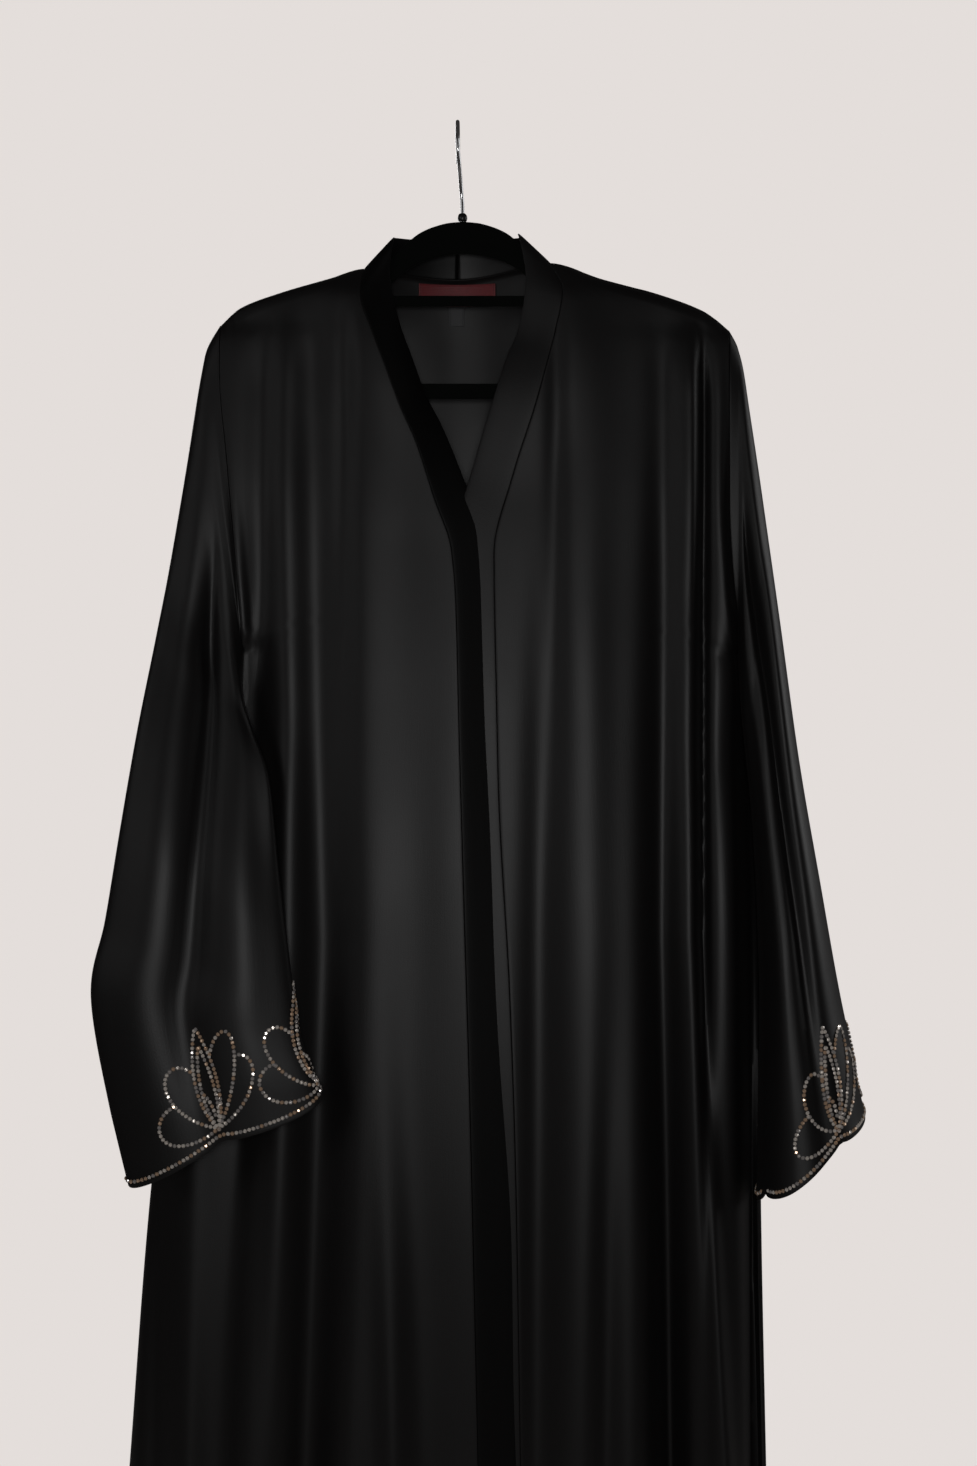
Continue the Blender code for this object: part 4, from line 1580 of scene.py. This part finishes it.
@dataclass
class Hanger:
    """A slim hanger in one flat moulded piece, flocked all over."""

    form: BodyForm
    middle: float = 4.0
    half: float = 210.0
    thick: float = 4.6
    arm: float = 20.0
    below_cloth: float = 2.6
    rounding: float = 1.7
    crown: Columns = field(default_factory=lambda: table(
        "off top bottom",
        (0, 84, 111.5), (12, 85, 112.5), (24, 88, 115), (36, 93, 119), (47, 101, 125), (57, 110, 133),
        (68, 119.5, 143), (74, 124.5, 146), (80, 129.5, 149)))
    tie_bar: tuple[float, float] = (148.0, 157.0)
    trouser_bar: tuple[float, float] = (224.0, 237.0)
    trouser_half: float = 196.0
    weld: float = 0.02

    def arm_edges(self) -> tuple[list[tuple[float, float]], list[tuple[float, float]]]:
        """Top and bottom edge from tip to tip, as x and drop.

        Returns:
            The top edge and the bottom edge.
        """
        offs = np.concatenate((np.linspace(0, self.crown["off"][-1], 28), np.linspace(90, self.half, 20)))
        top, bottom = [], []
        for sign in (-1, 1):
            for off in offs[::-1] if sign < 0 else offs[1:]:
                x = self.middle + sign * off
                if off <= self.crown["off"][-1]:
                    high = float(smooth(off, self.crown["off"], self.crown["top"]))
                    low = float(smooth(off, self.crown["off"], self.crown["bottom"]))
                else:
                    high = float(self.form.shoulder_drop(x)) + self.below_cloth
                    low = high + self.arm
                    high += 6 * float(ease(off, self.half - 12, self.half))
                top.append((x, high))
                bottom.append((x, low))
        return top, bottom

    def outlines(self) -> list[list[tuple[float, float]]]:
        """The outer outline and the two openings.

        Returns:
            Three closed outlines.
        """
        top, bottom = self.arm_edges()
        bar_top, bar_low = self.trouser_bar
        foot = [(self.half - 6, bottom[-1][1] + 6), (self.trouser_half + 8, bar_low - 9),
                (self.trouser_half, bar_low)]
        right_foot = [(self.middle + off, drop) for off, drop in foot]
        left_foot = [(self.middle - off, drop) for off, drop in reversed(foot)]
        tie_top, tie_low = self.tie_bar
        above = [(x, drop) for x, drop in bottom if drop < tie_top - 1]
        below = [(x, drop) for x, drop in bottom if drop > tie_low + 1]
        lower_left = [point for point in below if point[0] < self.middle][1:]
        lower_right = [point for point in below if point[0] > self.middle][:-1]
        end = self.trouser_half - 12
        upper = above + [(above[-1][0], tie_top), (above[0][0], tie_top)]
        corners = [(end, bar_top - 6), (end - 8, bar_top)]
        lower = (
            lower_left + [(lower_left[-1][0], tie_low), (lower_right[0][0], tie_low)] + lower_right
            + [(self.middle + off, drop) for off, drop in corners]
            + [(self.middle - off, drop) for off, drop in reversed(corners)])
        return [top + right_foot + left_foot, upper, lower]

    def build(self) -> Piece:
        """The flocked plate with rounded edges, in its solid's place.

        Returns:
            The hanger.
        """
        curve = bpy.data.curves.new("hanger_outline", "CURVE")
        curve.dimensions = "2D"
        curve.fill_mode = "BOTH"
        curve.bevel_depth = self.rounding * MM
        curve.bevel_resolution = 3
        curve.extrude = (self.thick / 2 - self.rounding) * MM
        curve.offset = -self.rounding * MM
        for outline in self.outlines():
            line = curve.splines.new("POLY")
            line.points.add(len(outline) - 1)
            line.use_cyclic_u = True
            for point, (x, drop) in zip(line.points, outline):
                point.co = (x * MM, -drop * MM, 0, 1)
        mesh = mesh_of(curve)
        stood = np.array([vertex.co for vertex in mesh.vertices])
        stood = np.stack([stood[:, 0], -stood[:, 2], stood[:, 1]], axis=1)
        mesh.vertices.foreach_set("co", stood.ravel())
        mend(mesh, weld=self.weld)
        obj = add_object("hanger_flocked", mesh, FLOCK)
        mesh.shade_smooth()
        mesh.set_sharp_from_angle(angle=math.radians(50))
        dress(obj, "hanger")
        return obj


@dataclass
class Hook:
    """The hanger's wire hook and the moulded collar that it turns in."""

    wire: float = 3.4
    inner: float = 19.0
    collar: Columns = field(default_factory=lambda: table(
        "radius drop", (2.9, 83.7), (3.5, 83.4), (3.9, 82.6), (4.2, 81.4), (4.2, 80.6), (4.0, 79.4),
        (3.6, 78.3), (3.1, 77.5), (2.5, 77.0), (1.8, 76.8)))
    neck: tuple[tuple[float, float, float], ...] = ((3.5, 0.0, -80.0), (3.5, 0.0, -76.7), (3.2, 0.0, -66.0))
    sway: float = 3.7
    rise: float = 44.0
    middle: float = -0.6
    turn: float = 205.0
    collar_sides: int = 32

    def route(self) -> Points:
        """Centre line of the wire, from its root up and over the seat.

        Returns:
            The points in millimetres.
        """
        radius = self.inner + self.wire / 2
        points = list(self.neck)
        x, _, z = self.neck[-1]
        for share in np.linspace(0.1, 0.93, 14):
            points.append((x - self.sway * share, -radius * float(ease(share, 0, 1)), z + self.rise * share))
        for turn in np.radians(np.linspace(0, self.turn, 48)):
            points.append((self.middle, -radius * math.cos(turn), -self.inner + radius * math.sin(turn)))
        return np.array(points)

    def build(self) -> list[Piece]:
        """The wire and the collar, each in its solid's place.

        Returns:
            The wire and the collar.
        """
        curve = bpy.data.curves.new("hook_wire", "CURVE")
        curve.dimensions = "3D"
        curve.bevel_depth = self.wire / 2 * MM
        curve.bevel_resolution = 6
        curve.use_fill_caps = True
        route = self.route()
        line = curve.splines.new("POLY")
        line.points.add(len(route) - 1)
        for point, place in zip(line.points, route):
            point.co = (*(place * MM), 1)
            point.radius = 1
        mesh = mesh_of(curve)
        mesh.shade_smooth()
        wire = add_object("hook_wire", mesh, CHROME)
        dress(wire, "hanger_hook")
        collar = self.turned_collar()
        dress(collar, "hanger_ferrule")
        return [wire, collar]

    def turned_collar(self) -> Piece:
        """The small moulded collar, turned about the wire.

        Returns:
            The collar.
        """
        turns = np.linspace(0, math.tau, self.collar_sides, endpoint=False)
        foot_x, round_x, round_y = self.neck[0][0], np.cos(turns), np.sin(turns)
        rings = [
            np.stack([foot_x + radius * round_x, radius * round_y, np.full_like(turns, -drop)], axis=1)
            for radius, drop in zip(self.collar["radius"], self.collar["drop"])]
        obj = grid_object("hook_collar", np.array(rings), PLASTIC, closed=True)
        mend(obj.data, fill=True)
        return obj


# The studio


@dataclass
class Studio:
    """Pale floor, soft light mainly from the front, and the photograph's camera."""

    floor_drop: float = 1.66
    lens: float = 50.0
    sensor: float = 36.0
    camera: tuple[float, float, float] = (0.026, -1.761, -0.526)
    wall: str = "#e4dedb"
    world_strength: float = 0.05
    floor_radius: float = 1.3
    lamps: dict[str, tuple[tuple[float, ...], tuple[float, ...], float, float]] = field(
        default_factory=lambda: {
            "window": ((0.03, -2.0, -0.46), (0, 0, -0.55), 0.42, 7.4),
            "side_fill": ((-2.0, -1.6, 0.2), (0, 0, -0.6), 1.2, 4),
            "right_fill": ((2.4, 0.5, 0.1), (0, 0, -0.7), 1.4, 12),
            "back_fill": ((-0.7, 2.4, 0.1), (0, 0, -0.7), 1.4, 26)})

    def add_lamps(self) -> None:
        """The square soft lights."""
        for name, (place, aim, size, power) in self.lamps.items():
            data = bpy.data.lights.new(name, "AREA")
            data.size = size
            data.energy = power
            lamp = bpy.data.objects.new(name, data)
            bpy.context.collection.objects.link(lamp)
            lamp.location = place
            lamp.rotation_euler = (Vector(aim) - Vector(place)).to_track_quat("-Z", "Y").to_euler()
            lamp.visible_camera = False

    def build(self) -> None:
        """Makes the world, the lights, the floor and the camera."""
        scene = bpy.context.scene
        scene.view_settings.view_transform = "Standard"
        world = bpy.data.worlds.new("studio")
        scene.world = world
        world.use_nodes = True
        air = world.node_tree
        air.nodes.clear()
        seen = add_node(air, "ShaderNodeLightPath")
        strength = between(air, seen.outputs["Is Camera Ray"], self.world_strength, 1.0)
        glow = add_node(air, "ShaderNodeBackground", {"Color": linear(self.wall), "Strength": strength})
        add_node(air, "ShaderNodeOutputWorld", {"Surface": glow.outputs[0]})
        self.add_lamps()
        floor = bmesh.new()
        bmesh.ops.create_circle(floor, cap_ends=True, segments=96, radius=self.floor_radius)
        bmesh.ops.translate(floor, verts=floor.verts, vec=(0, 0, -self.floor_drop))
        mesh = bpy.data.meshes.new("studio_floor")
        floor.to_mesh(mesh)
        floor.free()
        add_object("studio_floor", mesh, BOARD)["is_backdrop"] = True
        camera = bpy.data.cameras.new("camera")
        camera.lens = self.lens
        camera.sensor_width = self.sensor
        eye = bpy.data.objects.new("camera", camera)
        bpy.context.collection.objects.link(eye)
        eye.location = self.camera
        eye.rotation_euler = (math.radians(90), 0, 0)
        scene.camera = eye


CLOTH = CrepeSatin("cloth_crepe_satin")
# A darker, less glossy copy of the cloth: painted shade for the placket band that faces away from the light
SHADED_PLACKET_CLOTH = CrepeSatin("placket_satin_painted_shade", "#050505", "#0b0a0a", roughness=0.44, gloss=0.14)
FLOCK = Flock("hanger_flock")
CHROME = ChromeWire("hook_chrome")
PLASTIC = MouldedPlastic("collar_polypropylene")
RED_TAPE = WovenLabel("label_red_damask")
GREY_TAPE = WovenLabel("label_grey_damask", colour="#2c2c2e", rib_mm=0.5)
RED_THREAD = Thread("label_red_thread")
GREY_THREAD = Thread("label_grey_thread", colour="#1a1a1b")
CRYSTAL = Rhinestone("trim_rhinestone")
BOARD = PaintedBoard("studio_board")


@dataclass
class Cloak:
    """The whole garment, piece by piece."""

    form: BodyForm = field(default_factory=BodyForm)
    right_folds: Columns = field(default_factory=lambda: table(
        FOLD_COLUMNS,
        (-168, -176, -196, 15, 12, -4, -8, -4),
        (-146, -144, -158, 14, 15, 3, 7, 3),
        (-124, -112, -127, 17, 22, -3, -8, -16),
        (-97, -97, -97, 9, 9, -3, 0, 0),
        (-80, -76, -90, 24, 30, 2, 4, 11),
        (-62, -62, -52, 14, 16, 0, 0, 12),
        (-178, -178, -177, 18, 18, 0, 0, 8),
        (-226, -226, -229, 16, 14, 0, 2, 8),
        (-256, -256, -257, 8, 10, 0, 0, -5)))
    left_folds: Columns = field(default_factory=lambda: table(
        FOLD_COLUMNS,
        (84, 80, 80, 9, 9, -3, 0, 0),
        (75, 69, 67, 14, 16, 0, -5, -8),
        (110, 113, 104, 26, 22, 2, 6, 8),
        (125, 125, 124, 10, 10, 0, 0, -5),
        (146, 148, 146, 18, 18, 0, 3, 8),
        (176, 173, 181, 13, 12, -3, -9, -26),
        (200, 198, 226, 16, 8, 7, 10, 16),
        (211, 208, 212, 6, 6, -8, -9, 0),
        (230, 234, 238, 21, 10, 2, 15, 8),
        (252, 252, 255, 7, 8, 0, -6, -26)))
    back_folds: Columns = field(default_factory=lambda: table(
        FOLD_COLUMNS,
        (-172, -190, -212, 16, 14, -5, -10, -12),
        (-140, -152, -168, 18, 16, 3, 8, 9),
        (-106, -108, -118, 14, 18, -3, -10, -18),
        (-70, -66, -75, 18, 22, 2, 7, 12),
        (-22, -15, -22, 20, 16, -1, -8, -16),
        (25, 30, 28, 22, 20, 1, 7, 10),
        (70, 74, 82, 14, 18, -3, -12, -20),
        (115, 120, 118, 20, 18, 3, 8, 12),
        (160, 158, 170, 16, 14, -4, -9, -18),
        (200, 205, 216, 16, 12, -4, -3, 7)))
    right_band: Columns = field(default_factory=lambda: table(
        BAND_COLUMNS,
        (-81, 125, -55, 97, 0), (-83, 136, -57, 107, 4), (-84, 149, -59, 128, 12), (-74, 181, -53, 164, 20),
        (-63, 210, -40, 202, 22), (-49, 248, -27, 237, 20), (-37, 275, -16, 258, 16), (-20, 327, 5, 309, 10),
        (-6, 368, 21, 356, 8), (-2, 415, 26, 410, 8), (1, 528, 29.5, 528, 8), (5, 666, 36, 666, 8),
        (10, 834, 43, 834, 8), (13, 958, 47, 958, 8), (17, 1138, 49, 1138, 8), (24, 1603, 56, 1603, 8)))
    left_band: Columns = field(default_factory=lambda: table(
        BAND_COLUMNS,
        (79, 120, 51, 93, 0), (84, 130, 54, 106, 1), (90, 144, 58, 131, 3), (84, 179, 52, 177, 4),
        (76, 210, 42, 202, 4), (67, 243, 32, 233, 3), (47, 306, 15, 290, 2), (31, 373, -1, 360, 1),
        (33, 493, -1, 493, 1), (35, 581, 1, 581, 1), (44, 744, 9, 744, 1), (49, 894, 14, 894, 1),
        (53, 1140, 18, 1140, 1), (59, 1603, 24, 1603, 1)))
    right_sleeve: Columns = field(default_factory=lambda: table(
        SLEEVE_COLUMNS,
        (-217, 191, -184.5, 456, 0, 9, 14), (-223, 225, -186, 474, 2, 15, 14),
        (-234, 298, -183, 500, 5, 25, 13), (-248, 385, -173, 528, 10, 35, 12),
        (-258, 445, -160, 562, 20, 45, 12), (-271, 525, -150, 640, 38, 57, 13),
        (-284, 616, -142, 700, 54, 64, 14), (-294, 683, -136, 745, 60, 68, 15),
        (-305, 741, -131, 775, 64, 70, 16), (-289, 835, -121, 805, 68, 72, 16),
        (-273, 896, -112, 824, 70, 72, 15)))
    left_sleeve: Columns = field(default_factory=lambda: table(
        SLEEVE_COLUMNS,
        (240, 189, 241, 460, 0, 3, 13), (245, 208, 242.5, 480, 0, 7, 15),
        (251, 247, 243.5, 505, 0, 12, 18), (262, 322, 247, 545, 0, 17, 24),
        (276, 428, 252, 600, 5, 22, 32), (292, 549, 256, 680, 8, 27, 40),
        (309, 652, 257.5, 760, 12, 31, 47), (327, 755, 256, 840, 15, 34, 53),
        (346, 840, 254, 912, 20, 38, 57)))

    def build(self) -> list[Piece]:
        """All the cloth pieces, the crystals and the labels.

        Returns:
            The pieces.
        """
        fronts = {
            Side.RIGHT: FrontPanel(self.form, "front_right", 100, self.right_folds, (0.42, 1.48), 0.48,
                                   side=Side.RIGHT, band=self.right_band),
            Side.LEFT: FrontPanel(self.form, "front_left", 90, self.left_folds, (0.36, 1.48), 0.42,
                                  side=Side.LEFT, band=self.left_band)}
        back = BackPanel(self.form, "back", 170, self.back_folds, (0.72, 1.48), 0.95)
        made = [fronts[Side.RIGHT].build(), fronts[Side.LEFT].build(), back.build()]
        runs = self.form.runs()
        armhole_runs = runs[runs <= UNDERARM_RUN + 0.01]
        sleeves = {
            Side.RIGHT: Sleeve(Side.RIGHT, self.right_sleeve, (0.52, 0.72), 0.16),
            Side.LEFT: Sleeve(Side.LEFT, self.left_sleeve, (0.52, 0.72), 0.16, seam_turn=0.44, folds=table(
                "top_place cuff_place reach front_out back_out",
                (0.50, 0.44, 0.09, -8, -2), (0.22, 0.20, 0.10, 3, 2), (0.80, 0.76, 0.10, 3, -6),
                (0.36, 0.42, 0.10, 0, -5)))}
        for side, sleeve in sleeves.items():
            back_edge = back.at_runs(0 if side is Side.RIGHT else 1, armhole_runs)
            made.append(sleeve.build(fronts[side].side_edge(armhole_runs), back_edge, armhole_runs))
            made.append(CrystalTrim(sleeve).build())
        # The placket's darker, less glossy satin is painted shade for a band turned away from the light; its
        # face is a little smoother too
        for side, rows, finish in (
                (Side.RIGHT, self.right_band, SHADED_PLACKET_CLOTH), (Side.LEFT, self.left_band, CLOTH)):
            band = Band(side, rows, (0.037, 1.65), finish)
            made.append(band.build(fronts[side].seam_edge(runs), back.neck_edge(side), self.form))
        made.extend(Label("neck_label", "label_red", RED_TAPE, RED_THREAD, -35, 32, 132, 151).build(back))
        made.extend(Label("size_label", "label_grey", GREY_TAPE, GREY_THREAD, -9, 5, 151.6, 168).build(back))
        return made


def corners() -> list[list[float]]:
    """The lowest and highest corner of everything, as plain lists."""
    return [[float(value) for value in corner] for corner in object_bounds()]


def main() -> None:
    """Builds every piece on the frame, the studio and the camera."""
    logging.basicConfig(level=logging.INFO, format="%(message)s")
    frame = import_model()
    LOG.info("the frame has %d solids", len(frame["nodes"]))
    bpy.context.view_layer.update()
    cloak = Cloak()
    pieces = cloak.build()
    pieces.append(Hanger(cloak.form).build())
    pieces.extend(Hook().build())
    Studio().build()
    for piece in pieces:
        area = sum(face.area for face in piece.data.polygons)
        LOG.info("%s: %d faces, %.3f square metres all round", piece.name, len(piece.data.polygons), area)


if __name__ == "__main__":
    main()
